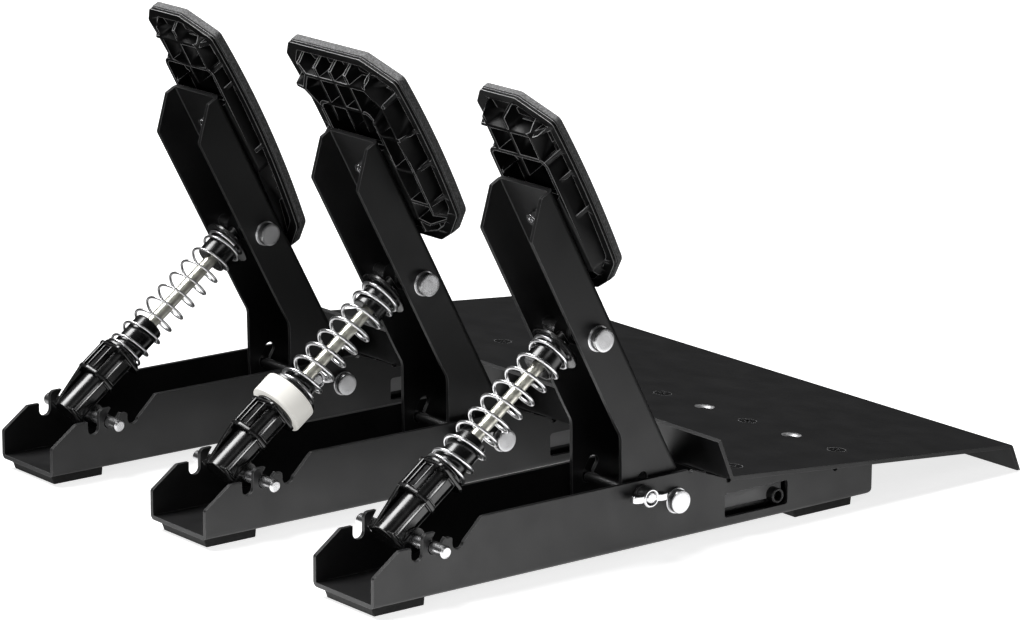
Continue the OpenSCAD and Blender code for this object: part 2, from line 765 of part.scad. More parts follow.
module pad_carrier(i) {
    rim_inset = 0.3;
    rim_w = 3;
    plate_t = 1.2;
    wall_inset = 2.6 + air;
    plate_top = pad_front(i) - cover_t - air;
    rib_top = plate_top - plate_t / 2;
    floor_t = 2.4;
    floor_top = -4;
    foot_half = arm_side - 1.2;
    color(plastic_black) at_pedal(i) pad_frame() {
        // Rim behind the cover
        pad_layer(i, pad_rim(i), pad_rim(i) + rib_t) difference() {
            shrunk_outline(i, rim_inset);
            shrunk_outline(i, rim_w + 0.4);
        }
        // Plate against the cover, and the wall round it
        pad_layer(i, plate_top - plate_t, plate_top) shrunk_outline(i, wall_inset);
        pad_layer(i, pad_rim(i), rib_top) difference() {
            shrunk_outline(i, wall_inset);
            shrunk_outline(i, wall_inset + rib_t);
        }
        // Ribs
        intersection() {
            linear_extrude(pad_front(i)) rib_lines(i == brake ? brake_ribs : narrow_ribs(pad_drop[i]));
            rib_space(i);
            under_crown(i, rib_top);
        }
        // Box, open above the arm and with a floor on the arm's web
        intersection() {
            translate([0, 0, rib_edge]) linear_extrude(pad_front(i)) box_wall();
            under_crown(i, rib_top);
        }
        difference() {
            union() {
                translate([0, 0, rib_edge]) linear_extrude(floor_t) intersection() {
                    box_outline(0);
                    translate([-arm_w, box_bottom]) square([2 * arm_w, floor_top - box_bottom]);
                }
                translate([-foot_half, box_bottom + 2, 0])
                    cube([2 * foot_half, floor_top - box_bottom - 4, rib_edge + 0.1]);
            }
            for (y = pad_screws_up) translate([0, y, -1]) cylinder(h = 3 * floor_t, d = pad_screw_d + 2 * running);
        }
    }
}

pad_screws_up = [-17, -40];
module pad_screw_places() {
    translate([0, arm_back, arm_top]) rotate([90, 0, 0])
        for (y = pad_screws_up) translate([0, y, 0]) children();
}

module pad_screws(i) {
    head_h = 4;
    head_d = 6.6;
    socket_d = 3;
    color(bright_steel) at_pedal(i) arm_frame() pad_screw_places() {
        difference() {
            translate([0, 0, -sheet_t - head_h]) cylinder(h = head_h, d = head_d);
            translate([0, 0, -sheet_t - head_h - 1]) cylinder(h = 3, d = socket_d, $fn = 6);
        }
        translate([0, 0, -sheet_t - 0.1]) cylinder(h = sheet_t + 4, d = pad_screw_d);
    }
}

// Dampers

module square_flange(from, height) {
    translate([0, 0, from]) linear_extrude(height) rounded_outline([
        [-housing_half, -housing_half, 3.5], [housing_half, -housing_half, 3.5],
        [housing_half, housing_half, 3.5], [-housing_half, housing_half, 3.5]]);
}

module rib_panel(from, to) {
    depth = 0.8;
    edge = 1.3;
    width = housing_rib_w - 2 * edge;
    for (turn = [0:90:270]) rotate([0, 0, turn]) translate([housing_half - depth - 0.4, -width / 2, from + edge])
        cube([depth + 1, width, to - from - 2 * edge]);
}

module damper_housing(i) {
    end_z = -7.4;
    end_t = 2.2;
    mid_z = 9.6;
    mid_t = 3.2;
    top_z = seat_up - 3.8;
    flange_t = 2.8;
    rib_half = housing_half - 0.4;
    taper_half = 7.2;
    lug_r = pin_d / 2 + 3.2;
    lug_half = 9;
    guide_l = 8;
    bore_floor = 4.5;
    lip = 1.2;
    color(plastic_black) at_pedal(i) damper_frame() difference() {
        union() {
            translate([0, 0, end_z]) cylinder(h = seat_up - end_z, d = housing_core_d);
            translate([0, 0, seat_up - 1]) cylinder(h = sleeve_top - seat_up + 1 - lip, d = sleeve_d);
            translate([0, 0, sleeve_top - lip]) cylinder(h = lip, d1 = sleeve_d, d2 = sleeve_d - 2 * lip);
            translate([0, 0, seat_up - 1]) cylinder(h = 1, d = 2 * housing_half + 1);
            square_flange(top_z, flange_t);
            square_flange(mid_z, mid_t * 0.4);
            square_flange(mid_z + mid_t * 0.6, mid_t * 0.4);
            for (turn = [0, 90]) rotate([0, 0, turn])
                translate([-rib_half, -housing_rib_w / 2, mid_z]) cube([2 * rib_half, housing_rib_w, top_z - mid_z + 1]);
            for (turn = [0, 180, 270]) rotate([0, 0, turn])
                translate([0, -housing_rib_w / 2, end_z]) cube([rib_half, housing_rib_w, mid_z - end_z + 1]);
            across(housing_rib_w) polygon([[0, end_z], [taper_half, end_z], [rib_half, mid_z], [0, mid_z]]);
            translate([-housing_half, -housing_half + 2, end_z]) cube([2 * housing_half, 2 * housing_half - 6, end_t]);
            translate([0, -lug_drop, 0]) x_cylinder(-lug_half, lug_half, 2 * lug_r);
        }
        rib_panel(mid_z + mid_t, top_z);
        translate([-rib_half - 0.2, -housing_rib_w / 2 + 1.4, end_z + end_t + 3]) cube([0.9, housing_rib_w - 2.8, 7]);
        translate([0, 0, bore_floor]) cylinder(h = sleeve_top, d = rod_d + 2 * air);
        translate([0, -lug_drop, 0]) x_cylinder(-lug_half - 1, lug_half + 1, pin_d + 2 * running);
    }
    color(plastic_black) at_pedal(i) damper_frame() translate([0, 0, sleeve_top - guide_l]) difference() {
        cylinder(h = guide_l - lip, d = sleeve_d - 2);
        translate([0, 0, -1]) cylinder(h = guide_l + 2, d = rod_d + 2 * running);
    }
}

rod_end_up = 38;
module damper_rod(i) {
    eye_r = pin_d / 2 + eye_play + 2;
    eye_half = 5;
    neck = 9.2;
    color([0.78, 0.75, 0.66]) at_pedal(i) damper_frame() difference() {
        union() {
            translate([0, 0, rod_end_up]) cylinder(h = axis_l - rod_end_up - eye_r + 1, d = rod_d);
            translate([0, 0, axis_l - neck]) cylinder(h = neck - eye_r + 1.5, d = 8);
            translate([0, 0, axis_l]) x_cylinder(-eye_half, eye_half, 2 * eye_r);
        }
        translate([0, 0, axis_l]) x_cylinder(-eye_half - 1, eye_half + 1, pin_d + 2 * eye_play);
    }
}

module spring_cap(i) {
    flange_t = 1.6;
    dome_h = 2;
    cup = 6;
    color(plastic_black) at_pedal(i) damper_frame() translate([0, 0, axis_l - cap_drop]) difference() {
        union() {
            cylinder(h = flange_t, d = cap_flange_d);
            translate([0, 0, flange_t]) cylinder(h = dome_h - 0.4, d1 = 15, d2 = 11);
            translate([0, 0, -cap_l]) cylinder(h = cap_l + 0.1, d = cap_d);
        }
        translate([0, 0, -cap_l - 1]) cylinder(h = cap_l + flange_t + dome_h + 2, d = rod_d + 2 * running);
        translate([0, 0, -cap_l - 0.01]) cylinder(h = cup, d1 = cap_d - 2.4, d2 = rod_d + 1.6);
    }
}

module brake_elastomer_ring() {
    edge = 1;
    color([0.92, 0.91, 0.88]) at_pedal(brake) damper_frame() translate([0, 0, seat_up]) difference() {
        union() {
            translate([0, 0, edge]) cylinder(h = elastomer_h - 2 * edge, d = elastomer_d);
            cylinder(h = edge, d1 = elastomer_d - 2 * edge, d2 = elastomer_d);
            translate([0, 0, elastomer_h - edge]) cylinder(h = edge, d1 = elastomer_d, d2 = elastomer_d - 2 * edge);
        }
        translate([0, 0, -1]) cylinder(h = elastomer_h + 2, d = sleeve_d + 2 * running);
    }
}

module elastomer_washer() {
    color(plastic_black) at_pedal(brake) damper_frame() translate([0, 0, seat_up + elastomer_h]) difference() {
        cylinder(h = elastomer_washer_t, d = elastomer_d - 1.4);
        translate([0, 0, -1]) cylinder(h = elastomer_washer_t + 2, d = sleeve_d + 2 * running);
    }
}

// Springs: one tube along a helix whose end curls lie close
rings_per_curl = 8;
wire_sides = 6;
close_curls = 1;

function close_rise(wire) = wire + 0.5;
function open_curls(length, wire) = (length - 2 * close_curls * close_rise(wire)) / curl_pitch;
function curl_height(t, open, wire) =
    min(t, close_curls) * close_rise(wire)
    + max(0, min(t - close_curls, open)) * curl_pitch
    + max(0, t - close_curls - open) * close_rise(wire);
function helix(length, coil_r, wire) =
    let (open = open_curls(length, wire),
        rings = ceil((open + 2 * close_curls) * rings_per_curl))
    [for (k = [0:rings]) let (t = k * (open + 2 * close_curls) / rings)
        [coil_r * cos(spin * t), coil_r * sin(spin * t), curl_height(t, open, wire)]];
function tube_ring(path, k, wire) =
    let (here = path[k],
        along = unit(path[min(k + 1, len(path) - 1)] - path[max(k - 1, 0)]),
        outward = unit([here[0], here[1], 0]),
        side = unit(cross(along, outward)),
        lift = cross(side, along))
    [for (s = [0:wire_sides - 1]) here + wire / 2 * (lift * cos(spin * s / wire_sides) + side * sin(spin * s / wire_sides))];
function least_gap(path, wire) = min([for (a = [0:len(path) - 1 - rings_per_curl / 2])
    for (b = [a + rings_per_curl / 2:len(path) - 1]) norm(path[a] - path[b])]) - wire;

module spring_tube(length, coil_d, wire, name) {
    path = helix(length - wire, (coil_d - wire) / 2, wire);
    count = len(path);
    last = (count - 1) * wire_sides;
    points = [for (k = [0:count - 1]) each tube_ring(path, k, wire)];
    walls = [for (k = [0:count - 2]) for (s = [0:wire_sides - 1])
        let (a = k * wire_sides + s, b = k * wire_sides + (s + 1) % wire_sides)
        each [[a, b, a + wire_sides], [b, b + wire_sides, a + wire_sides]]];
    ends = [for (s = [1:wire_sides - 2]) each [[0, s + 1, s], [last, last + s, last + s + 1]]];
    echo(str(name, ": least gap between its curls in mm"), least_gap(path, wire));
    translate([0, 0, wire / 2]) polyhedron(points, concat(walls, ends));
}

coil_d = [clutch_coil_d, brake_coil_d, throttle_coil_d];
wire_d = [clutch_wire_d, brake_wire_d, throttle_wire_d];
spring_names = ["clutch spring", "brake spring", "throttle spring"];

module spring(i) {
    seat_gap = 0.1;
    from = seat_up + (i == brake ? elastomer_h + elastomer_washer_t : 0) + seat_gap;
    to = axis_l - cap_drop - seat_gap;
    color([0.7, 0.7, 0.72]) at_pedal(i) damper_frame() translate([0, 0, from])
        spring_tube(to - from, coil_d[i], wire_d[i], spring_names[i]);
}

// Sensor modules inside the channels, behind the windows
module_top = 15.8;
module_back = window_back[1] + 4.5;
port_at = [-236, 9.5];

module sensor(i) {
    half = channel_in - air;
    boss_d = port_d + 2.4;
    edge = 1.2;
    port_depth = 6;
    base_top = sheet_t + bend_r + air;
    color([0.3, 0.3, 0.31]) at_pedal(i) difference() {
        union() {
            across(2 * half) rounded_outline([[-module_back, base_top, 0], [-module_back + module_l, base_top, 0],
                [-module_back + module_l, module_top, edge], [-module_back, module_top, edge]]);
            translate([-half + bend_r, -module_back, sheet_t])
                cube([2 * (half - bend_r), module_l, bend_r + air + 0.1]);
            at_yz(port_at) x_cylinder(-channel_side + 0.4, -half + 1, boss_d);
        }
        at_yz(port_at) x_cylinder(-channel_side, -half + port_depth, port_d);
    }
}

heel_plate();
plate_screws();
plate_nuts();
rubber_feet();
pivot_washers();
at_pedal(clutch) base_channel();  // clutch_channel
pedal_arm(clutch);  // clutch_arm
pad_carrier(clutch);  // clutch_pad_carrier
pad_cover(clutch);  // clutch_pad_cover
pad_screws(clutch);  // clutch_pad_screws
pivot_axle(clutch);  // clutch_pivot_axle
stop_bolt(clutch);  // clutch_stop_bolt
wing_nut(clutch);  // clutch_wing_nut
upper_pin(clutch);  // clutch_upper_pin
lower_pin(clutch);  // clutch_lower_pin
damper_housing(clutch);  // clutch_damper_housing
damper_rod(clutch);  // clutch_damper_rod
spring_cap(clutch);  // clutch_spring_cap
spring(clutch);  // clutch_spring
sensor(clutch);  // clutch_sensor
arm_magnet(clutch);  // clutch_magnet
at_pedal(brake) base_channel();  // brake_channel
pedal_arm(brake);  // brake_arm
pad_carrier(brake);  // brake_pad_carrier
pad_cover(brake);  // brake_pad_cover
pad_screws(brake);  // brake_pad_screws
pivot_axle(brake);  // brake_pivot_axle
stop_bolt(brake);  // brake_stop_bolt
wing_nut(brake);  // brake_wing_nut
upper_pin(brake);  // brake_upper_pin
lower_pin(brake);  // brake_lower_pin
damper_housing(brake);  // brake_damper_housing
damper_rod(brake);  // brake_damper_rod
spring_cap(brake);  // brake_spring_cap
spring(brake);  // brake_spring
brake_elastomer_ring();  // brake_elastomer
elastomer_washer();  // brake_elastomer_washer
sensor(brake);  // brake_sensor
arm_magnet(brake);  // brake_magnet
at_pedal(throttle) base_channel();  // throttle_channel
pedal_arm(throttle);  // throttle_arm
pad_carrier(throttle);  // throttle_pad_carrier
pad_cover(throttle);  // throttle_pad_cover
pad_screws(throttle);  // throttle_pad_screws
pivot_axle(throttle);  // throttle_pivot_axle
stop_bolt(throttle);  // throttle_stop_bolt
wing_nut(throttle);  // throttle_wing_nut
upper_pin(throttle);  // throttle_upper_pin
lower_pin(throttle);  // throttle_lower_pin
damper_housing(throttle);  // throttle_damper_housing
damper_rod(throttle);  // throttle_damper_rod
spring_cap(throttle);  // throttle_spring_cap
spring(throttle);  // throttle_spring
sensor(throttle);  // throttle_sensor
arm_magnet(throttle);  // throttle_magnet
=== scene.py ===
import json
import math

import bmesh
import bpy
from mathutils import Matrix, Vector


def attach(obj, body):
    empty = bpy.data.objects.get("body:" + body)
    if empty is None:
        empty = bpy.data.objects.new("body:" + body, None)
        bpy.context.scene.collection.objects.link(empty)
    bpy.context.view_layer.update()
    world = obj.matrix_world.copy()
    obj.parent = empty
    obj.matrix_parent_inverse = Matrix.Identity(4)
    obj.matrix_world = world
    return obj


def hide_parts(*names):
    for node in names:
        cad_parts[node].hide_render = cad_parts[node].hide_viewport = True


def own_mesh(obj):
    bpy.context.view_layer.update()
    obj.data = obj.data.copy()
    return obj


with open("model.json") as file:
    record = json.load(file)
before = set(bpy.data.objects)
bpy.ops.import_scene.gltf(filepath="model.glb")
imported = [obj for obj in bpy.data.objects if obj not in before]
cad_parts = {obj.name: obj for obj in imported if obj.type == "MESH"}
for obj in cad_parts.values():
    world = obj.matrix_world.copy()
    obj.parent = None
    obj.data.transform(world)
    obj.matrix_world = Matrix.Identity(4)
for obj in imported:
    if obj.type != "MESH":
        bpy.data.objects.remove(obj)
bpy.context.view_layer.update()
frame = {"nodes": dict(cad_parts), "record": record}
record = frame["record"]
mm = 0.001

# Camera, solved from the photograph's corners: metres, degrees, and pixels for focal and width
cameraValues = {
    "place": (-1.70079, 1.3284, 0.62201),
    "azimuth": 231.4907,
    "elevation": 14.2643,
    "roll": 0.3468,
    "focal": 4552.83,
    "width": 1024,
    "sensor": 36,
    "clipEnd": 30,
}


def makeCamera(v):
    azimuth, elevation, roll = (math.radians(v[k]) for k in ("azimuth", "elevation", "roll"))
    back = Vector((math.sin(azimuth) * math.cos(elevation), -math.cos(azimuth) * math.cos(elevation),
                   math.sin(elevation)))
    right = Vector((math.cos(azimuth), math.sin(azimuth), 0))
    up = back.cross(right)
    across = math.cos(roll) * right + math.sin(roll) * up
    upright = -math.sin(roll) * right + math.cos(roll) * up
    data = bpy.data.cameras.new("camera")
    data.sensor_width = v["sensor"]
    data.lens = v["focal"] / v["width"] * v["sensor"]
    data.clip_end = v["clipEnd"]
    camera = bpy.data.objects.new("camera", data)
    bpy.context.scene.collection.objects.link(camera)
    camera.matrix_world = Matrix(((across.x, upright.x, back.x, v["place"][0]),
                                  (across.y, upright.y, back.y, v["place"][1]),
                                  (across.z, upright.z, back.z, v["place"][2]),
                                  (0, 0, 0, 1)))
    bpy.context.scene.camera = camera


makeCamera(cameraValues)
print("camera made")

# Materials: every colour and roughness wanders between two values over a fine pattern
patternValues = {"span": (0.3, 0.7), "bevelSamples": 6, "edgeSamples": 8, "edgeTurn": (0.99, 0.9)}


def nodeMaterial(name, v, metallic=0.0):
    material = bpy.data.materials.new(name)
    material.use_nodes = True
    shader = material.node_tree.nodes["Principled BSDF"]
    shader.inputs["Base Color"].default_value = (*v["base"], 1)
    shader.inputs["Metallic"].default_value = metallic
    shader.inputs["Specular IOR Level"].default_value = v.get("specular", 0.5)
    return material, material.node_tree, shader


def addNode(tree, kind, **values):
    node = tree.nodes.new(kind)
    for key, value in values.items():
        if key in node.inputs:
            node.inputs[key].default_value = value
        else:
            setattr(node, key, value)
    return node


def noiseOn(tree, scale, detail):
    place = addNode(tree, "ShaderNodeTexCoord")
    noise = addNode(tree, "ShaderNodeTexNoise", Scale=scale, Detail=detail)
    tree.links.new(place.outputs["Object"], noise.inputs["Vector"])
    return noise.outputs["Fac"]


def addBump(tree, shader, pattern, v):
    bump = addNode(tree, "ShaderNodeBump", Strength=v["bump"], Distance=v["grainDepth"])
    tree.links.new(pattern, bump.inputs["Height"])
    tree.links.new(bump.outputs["Normal"], shader.inputs["Normal"])
    return bump


def addRange(tree, source, fromSpan, toSpan, **values):
    ramp = addNode(tree, "ShaderNodeMapRange", **values)
    for socket, value in zip(("From Min", "From Max", "To Min", "To Max"), (*fromSpan, *toSpan)):
        ramp.inputs[socket].default_value = value
    tree.links.new(source, ramp.inputs["Value"])
    return ramp.outputs["Result"]


def varyRoughness(tree, shader, pattern, v):
    varied = addRange(tree, pattern, patternValues["span"], v["roughness"])
    tree.links.new(varied, shader.inputs["Roughness"])


def mixTowards(tree, shader, factor, colour):
    # Mixes the shader's present base colour with another
    mix = addNode(tree, "ShaderNodeMix", data_type="RGBA")
    first, second = (socket for socket in mix.inputs if socket.type == "RGBA")
    base = shader.inputs["Base Color"]
    if base.is_linked:
        tree.links.new(base.links[0].from_socket, first)
    else:
        first.default_value = tuple(base.default_value)
    second.default_value = (*colour, 1)
    tree.links.new(factor, mix.inputs["Factor"])
    tree.links.new(next(socket for socket in mix.outputs if socket.type == "RGBA"), base)


def paintEdgeHighlights(tree, shader, v):
    # Painted highlights: light lines where the rounded normal leaves the flat one, so along each edge
    rounded = addNode(tree, "ShaderNodeBevel", Radius=v["edge"], samples=patternValues["edgeSamples"])
    surface = addNode(tree, "ShaderNodeNewGeometry")
    turn = addNode(tree, "ShaderNodeVectorMath", operation="DOT_PRODUCT")
    tree.links.new(rounded.outputs["Normal"], turn.inputs[0])
    tree.links.new(surface.outputs["Normal"], turn.inputs[1])
    line = addRange(tree, turn.outputs["Value"], patternValues["edgeTurn"], (0, 1))
    mixTowards(tree, shader, line, v["paintedEdgeHighlight"])


powderCoat = {
    "base": (0.0075, 0.0075, 0.008),
    "light": (0.012, 0.012, 0.0125),
    # Painted highlight colour along the sheet's edges
    "paintedEdgeHighlight": (0.14, 0.14, 0.143),
    "roughness": (0.4, 0.5),
    "specular": 0.54,
    "grainScale": 1400.0,
    "grainDetail": 2,
    "grainDepth": 0.00004,
    "bump": 0.55,
    "cloudScale": 60.0,
    "cloudDetail": 5,
    "edge": 0.00035,
}


def makePowderCoat(v):
    material, tree, shader = nodeMaterial("powderCoat", v)
    grain = noiseOn(tree, v["grainScale"], v["grainDetail"])
    cloud = noiseOn(tree, v["cloudScale"], v["cloudDetail"])
    bump = addBump(tree, shader, grain, v)
    rounded = addNode(tree, "ShaderNodeBevel", Radius=v["edge"], samples=patternValues["bevelSamples"])
    tree.links.new(rounded.outputs["Normal"], bump.inputs["Normal"])
    varyRoughness(tree, shader, cloud, v)
    mixTowards(tree, shader, grain, v["light"])
    # Painted highlights along the sheet's edges
    paintEdgeHighlights(tree, shader, v)
    return material


padGrain = {
    "base": (0.05, 0.05, 0.051),
    "light": (0.34, 0.34, 0.343),
    "roughness": (0.55, 0.75),
    "cellScale": 1100.0,
    "grainDepth": 0.00018,
    "bump": 0.7,
}


def makePadGrain(v):
    material, tree, shader = nodeMaterial("padGrain", v)
    place = addNode(tree, "ShaderNodeTexCoord")
    cells = addNode(tree, "ShaderNodeTexVoronoi", Scale=v["cellScale"])
    tree.links.new(place.outputs["Object"], cells.inputs["Vector"])
    pattern = cells.outputs["Distance"]
    addBump(tree, shader, pattern, v)
    varyRoughness(tree, shader, pattern, v)
    mixTowards(tree, shader, pattern, v["light"])
    return material


turnedSteel = {
    "base": (0.66, 0.66, 0.67),
    "light": (0.76, 0.76, 0.77),
    "roughness": (0.2, 0.34),
    "grooves": 9.0,
    "grooveDetail": 3,
    "grainDepth": 0.00006,
    "bump": 0.6,
}


def makeTurned(v):
    # Fine turning rings follow the radius that each lathed shape stores
    material, tree, shader = nodeMaterial("turnedSteel", v, metallic=1.0)
    radius = addNode(tree, "ShaderNodeAttribute", attribute_name="radius")
    rings = addNode(tree, "ShaderNodeTexNoise", noise_dimensions="1D", Scale=v["grooves"],
                    Detail=v["grooveDetail"])
    tree.links.new(radius.outputs["Fac"], rings.inputs["W"])
    pattern = rings.outputs["Fac"]
    addBump(tree, shader, pattern, v)
    varyRoughness(tree, shader, pattern, v)
    mixTowards(tree, shader, pattern, v["light"])
    return material


# Plastics, rubber and plated metal share one recipe
moulded = {"metallic": 0.0, "grainDetail": 3, "bump": 0.4}
plated = {"metallic": 1.0, "grainDetail": 4, "bump": 0.3}

carrierPlastic = {
    **moulded,
    "base": (0.004, 0.004, 0.0042),
    "light": (0.007, 0.007, 0.0073),
    # Painted highlight colour along the ribs' edges
    "paintedEdgeHighlight": (0.93, 0.93, 0.94),
    "roughness": (0.36, 0.46),
    "specular": 0.2,
    "grainScale": 500.0,
    "grainDepth": 0.00002,
    "edge": 0.0005,
}
damperPlastic = {
    **moulded,
    "base": (0.004, 0.004, 0.0042),
    "light": (0.006, 0.006, 0.0063),
    "roughness": (0.2, 0.28),
    "specular": 0.8,
    "grainScale": 220.0,
    "grainDepth": 0.00001,
}
# Painted light: the module gets a lighter grey than its own dark grey and a glow, for the shaded recess
# behind the window
modulePlastic = {
    **moulded,
    "base": (0.3, 0.3, 0.304),
    "light": (0.35, 0.35, 0.354),
    "roughness": (0.45, 0.6),
    "glow": 0.1,
    "grainScale": 900.0,
    "grainDepth": 0.00003,
}
footRubber = {
    **moulded,
    "base": (0.012, 0.012, 0.012),
    "light": (0.022, 0.022, 0.022),
    "roughness": (0.7, 0.85),
    "grainScale": 900.0,
    "grainDepth": 0.00006,
}
elastomer = {
    **moulded,
    "base": (0.8, 0.785, 0.74),
    "light": (0.88, 0.87, 0.83),
    "roughness": (0.35, 0.5),
    # The glow is painted light that whitens the elastomer beyond what the lamps give
    "glow": 0.56,
    "grainScale": 90.0,
    "grainDepth": 0.00003,
}
blackOxide = {
    **moulded,
    "base": (0.004, 0.004, 0.0042),
    "light": (0.01, 0.01, 0.0105),
    # Painted highlight colour along the screws' edges
    "paintedEdgeHighlight": (0.3, 0.3, 0.305),
    "roughness": (0.28, 0.4),
    "specular": 0.35,
    "grainScale": 700.0,
    "grainDepth": 0.00002,
    "edge": 0.0003,
}
washerPlastic = {
    **moulded,
    "base": (0.45, 0.44, 0.4),
    "light": (0.55, 0.54, 0.5),
    "roughness": (0.45, 0.6),
    "grainScale": 300.0,
    "grainDepth": 0.00002,
}
bareCone = {
    **plated,
    "base": (0.84, 0.84, 0.85),
    "light": (0.92, 0.92, 0.93),
    "roughness": (0.4, 0.48),
    "grainScale": 600.0,
    "grainDepth": 0.00002,
}
brightPlate = {
    **plated,
    "base": (0.62, 0.62, 0.63),
    "light": (0.8, 0.8, 0.81),
    "roughness": (0.12, 0.26),
    "grainScale": 260.0,
    "grainDepth": 0.00001,
}
springWire = {
    **plated,
    "base": (0.8, 0.8, 0.81),
    "light": (0.86, 0.86, 0.87),
    "roughness": (0.26, 0.34),
    "grainScale": 400.0,
    "grainDepth": 0.00001,
}
rodPlate = {
    **plated,
    "base": (0.8, 0.79, 0.7),
    "light": (0.84, 0.83, 0.74),
    "roughness": (0.36, 0.42),
    "grainScale": 60.0,
    "grainDepth": 0.00001,
}


def makeGrained(name, v):
    material, tree, shader = nodeMaterial(name, v, v["metallic"])
    # Emission is painted light: a material that lists a glow shines by itself, in its own colour
    shader.inputs["Emission Color"].default_value = (*v["base"], 1)
    shader.inputs["Emission Strength"].default_value = v.get("glow", 0.0)
    grain = noiseOn(tree, v["grainScale"], v["grainDetail"])
    addBump(tree, shader, grain, v)
    varyRoughness(tree, shader, grain, v)
    mixTowards(tree, shader, grain, v["light"])
    # Painted highlights along the edges, for materials that list an edge highlight colour
    if "paintedEdgeHighlight" in v:
        paintEdgeHighlights(tree, shader, v)
    return material


materials = {
    "black_sheet_steel": makePowderCoat(powderCoat),
    "carrier_plastic": makeGrained("carrierPlastic", carrierPlastic),
    "pad_cover": makePadGrain(padGrain),
    "damper_plastic": makeGrained("damperPlastic", damperPlastic),
    "module_plastic": makeGrained("modulePlastic", modulePlastic),
    "foot_rubber": makeGrained("footRubber", footRubber),
    "white_elastomer": makeGrained("whiteElastomer", elastomer),
    "black_screws": makeGrained("blackOxide", blackOxide),
    "washer_plastic": makeGrained("washerPlastic", washerPlastic),
    "bright_steel": makeGrained("brightPlate", brightPlate),
    "pin_steel": makeTurned(turnedSteel),
    "spring_steel": makeGrained("springWire", springWire),
    "rod_steel": makeGrained("rodPlate", rodPlate),
    "magnet": makeGrained("magnetPlate", brightPlate),
    "bare_cone": makeGrained("bareCone", bareCone),
}
slotOf = {s["node"]: s["material_slot"] for s in record["subparts"]}
bodyOf = {n: b for b, ns in record["behaviour"]["bodies"].items() for n in ns}
for name, obj in frame["nodes"].items():
    obj.data.materials.clear()
    obj.data.materials.append(materials[slotOf[name]])
print("materials made")


# Shape helpers: shapes are drawn in millimetres in a local frame and placed by a matrix
def newPiece(name, work, slotName, body, *nodes, extra=(), smoothAngle=32):
    mesh = bpy.data.meshes.new(name)
    work.to_mesh(mesh)
    work.free()
    for polygon in mesh.polygons:
        polygon.use_smooth = True
    mesh.set_sharp_from_angle(angle=math.radians(smoothAngle))
    obj = bpy.data.objects.new(name, mesh)
    bpy.context.scene.collection.objects.link(obj)
    for each in (slotName, *extra):
        mesh.materials.append(materials[each])
    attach(obj, body)
    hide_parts(*nodes)
    return obj


def newWork():
    work = bmesh.new()
    work.verts.layers.float.new("radius")
    return work


def mergeInto(work, part, matrix, material=0):
    layer = work.verts.layers.float["radius"]
    source = part.verts.layers.float.get("radius")
    copies = {}
    for vert in part.verts:
        copy = work.verts.new(matrix @ vert.co * mm)
        copy[layer] = vert[source] if source else 0
        copies[vert] = copy
    for face in part.faces:
        made = work.faces.new([copies[v] for v in face.verts])
        made.material_index = material
    part.free()


def addLathe(work, matrix, profile, steps=72, material=0):
    # Profile points are (radius, height), and a radius of 0 is a point on the axis
    part = newWork()
    layer = part.verts.layers.float["radius"]
    rings = []
    for r, z in profile:
        if r == 0:
            rings.append([part.verts.new((0, 0, z))])
            continue
        ring = []
        for k in range(steps):
            turn = 2 * math.pi * k / steps
            vert = part.verts.new((r * math.cos(turn), r * math.sin(turn), z))
            vert[layer] = r
            ring.append(vert)
        rings.append(ring)
    closed = len(rings[0]) > 1 and len(rings[-1]) > 1
    pairs = list(zip(rings, rings[1:])) + ([(rings[-1], rings[0])] if closed else [])
    for low, high in pairs:
        for k in range(steps):
            m = (k + 1) % steps
            if len(low) == 1:
                part.faces.new((low[0], high[m], high[k]))
            elif len(high) == 1:
                part.faces.new((low[k], low[m], high[0]))
            else:
                part.faces.new((low[k], low[m], high[m], high[k]))
    bmesh.ops.recalc_face_normals(part, faces=part.faces)
    mergeInto(work, part, matrix, material)


def shaftProfile(r, low, high, lowEdge=0, highEdge=0):
    start = [(r - lowEdge, low), (r, low + lowEdge)] if lowEdge else [(r, low)]
    end = [(r, high - highEdge), (r - highEdge, high)] if highEdge else [(r, high)]
    return [(0, low), *start, *end, (0, high)]


def tubeProfile(bore, r, low, high, edge):
    return [(bore, low), (r - edge, low), (r, low + edge), (r, high - edge), (r - edge, high), (bore, high)]


def washerProfile(bore, r, height, edge):
    return [(bore, 0), (r, 0), (r, height - edge), (r - edge, height), (bore, height)]


def offsets(points, r, z):
    return [(r + a, z + b) for a, b in points]


def addBlock(work, matrix, low, high, edge, segments=2, material=0):
    part = bmesh.new()
    bmesh.ops.create_cube(part, size=1)
    for vert in part.verts:
        vert.co = Vector((low[k] + (vert.co[k] + 0.5) * (high[k] - low[k]) for k in range(3)))
    if edge:
        bmesh.ops.bevel(part, geom=part.edges[:], offset=edge, segments=segments, profile=0.5,
                        affect="EDGES", clamp_overlap=True)
    mergeInto(work, part, matrix, material)


def roundedOutline(corners, steps=6):
    # Corners are (x, y, radius)
    points = []
    count = len(corners)
    for k in range(count):
        before, here, after = (Vector(corners[(k + j) % count][:2]) for j in (-1, 0, 1))
        r = corners[k][2]
        a, b = (before - here).normalized(), (after - here).normalized()
        half = a.angle(b) / 2
        centre = here + (a + b).normalized() * (r / math.sin(half))
        start, end = here + a * (r / math.tan(half)) - centre, here + b * (r / math.tan(half)) - centre
        angle = start.angle_signed(end)
        first = math.atan2(start.y, start.x)
        for j in range(steps + 1):
            turn = first - angle * j / steps
            points.append(centre + r * Vector((math.cos(turn), math.sin(turn))))
    return points


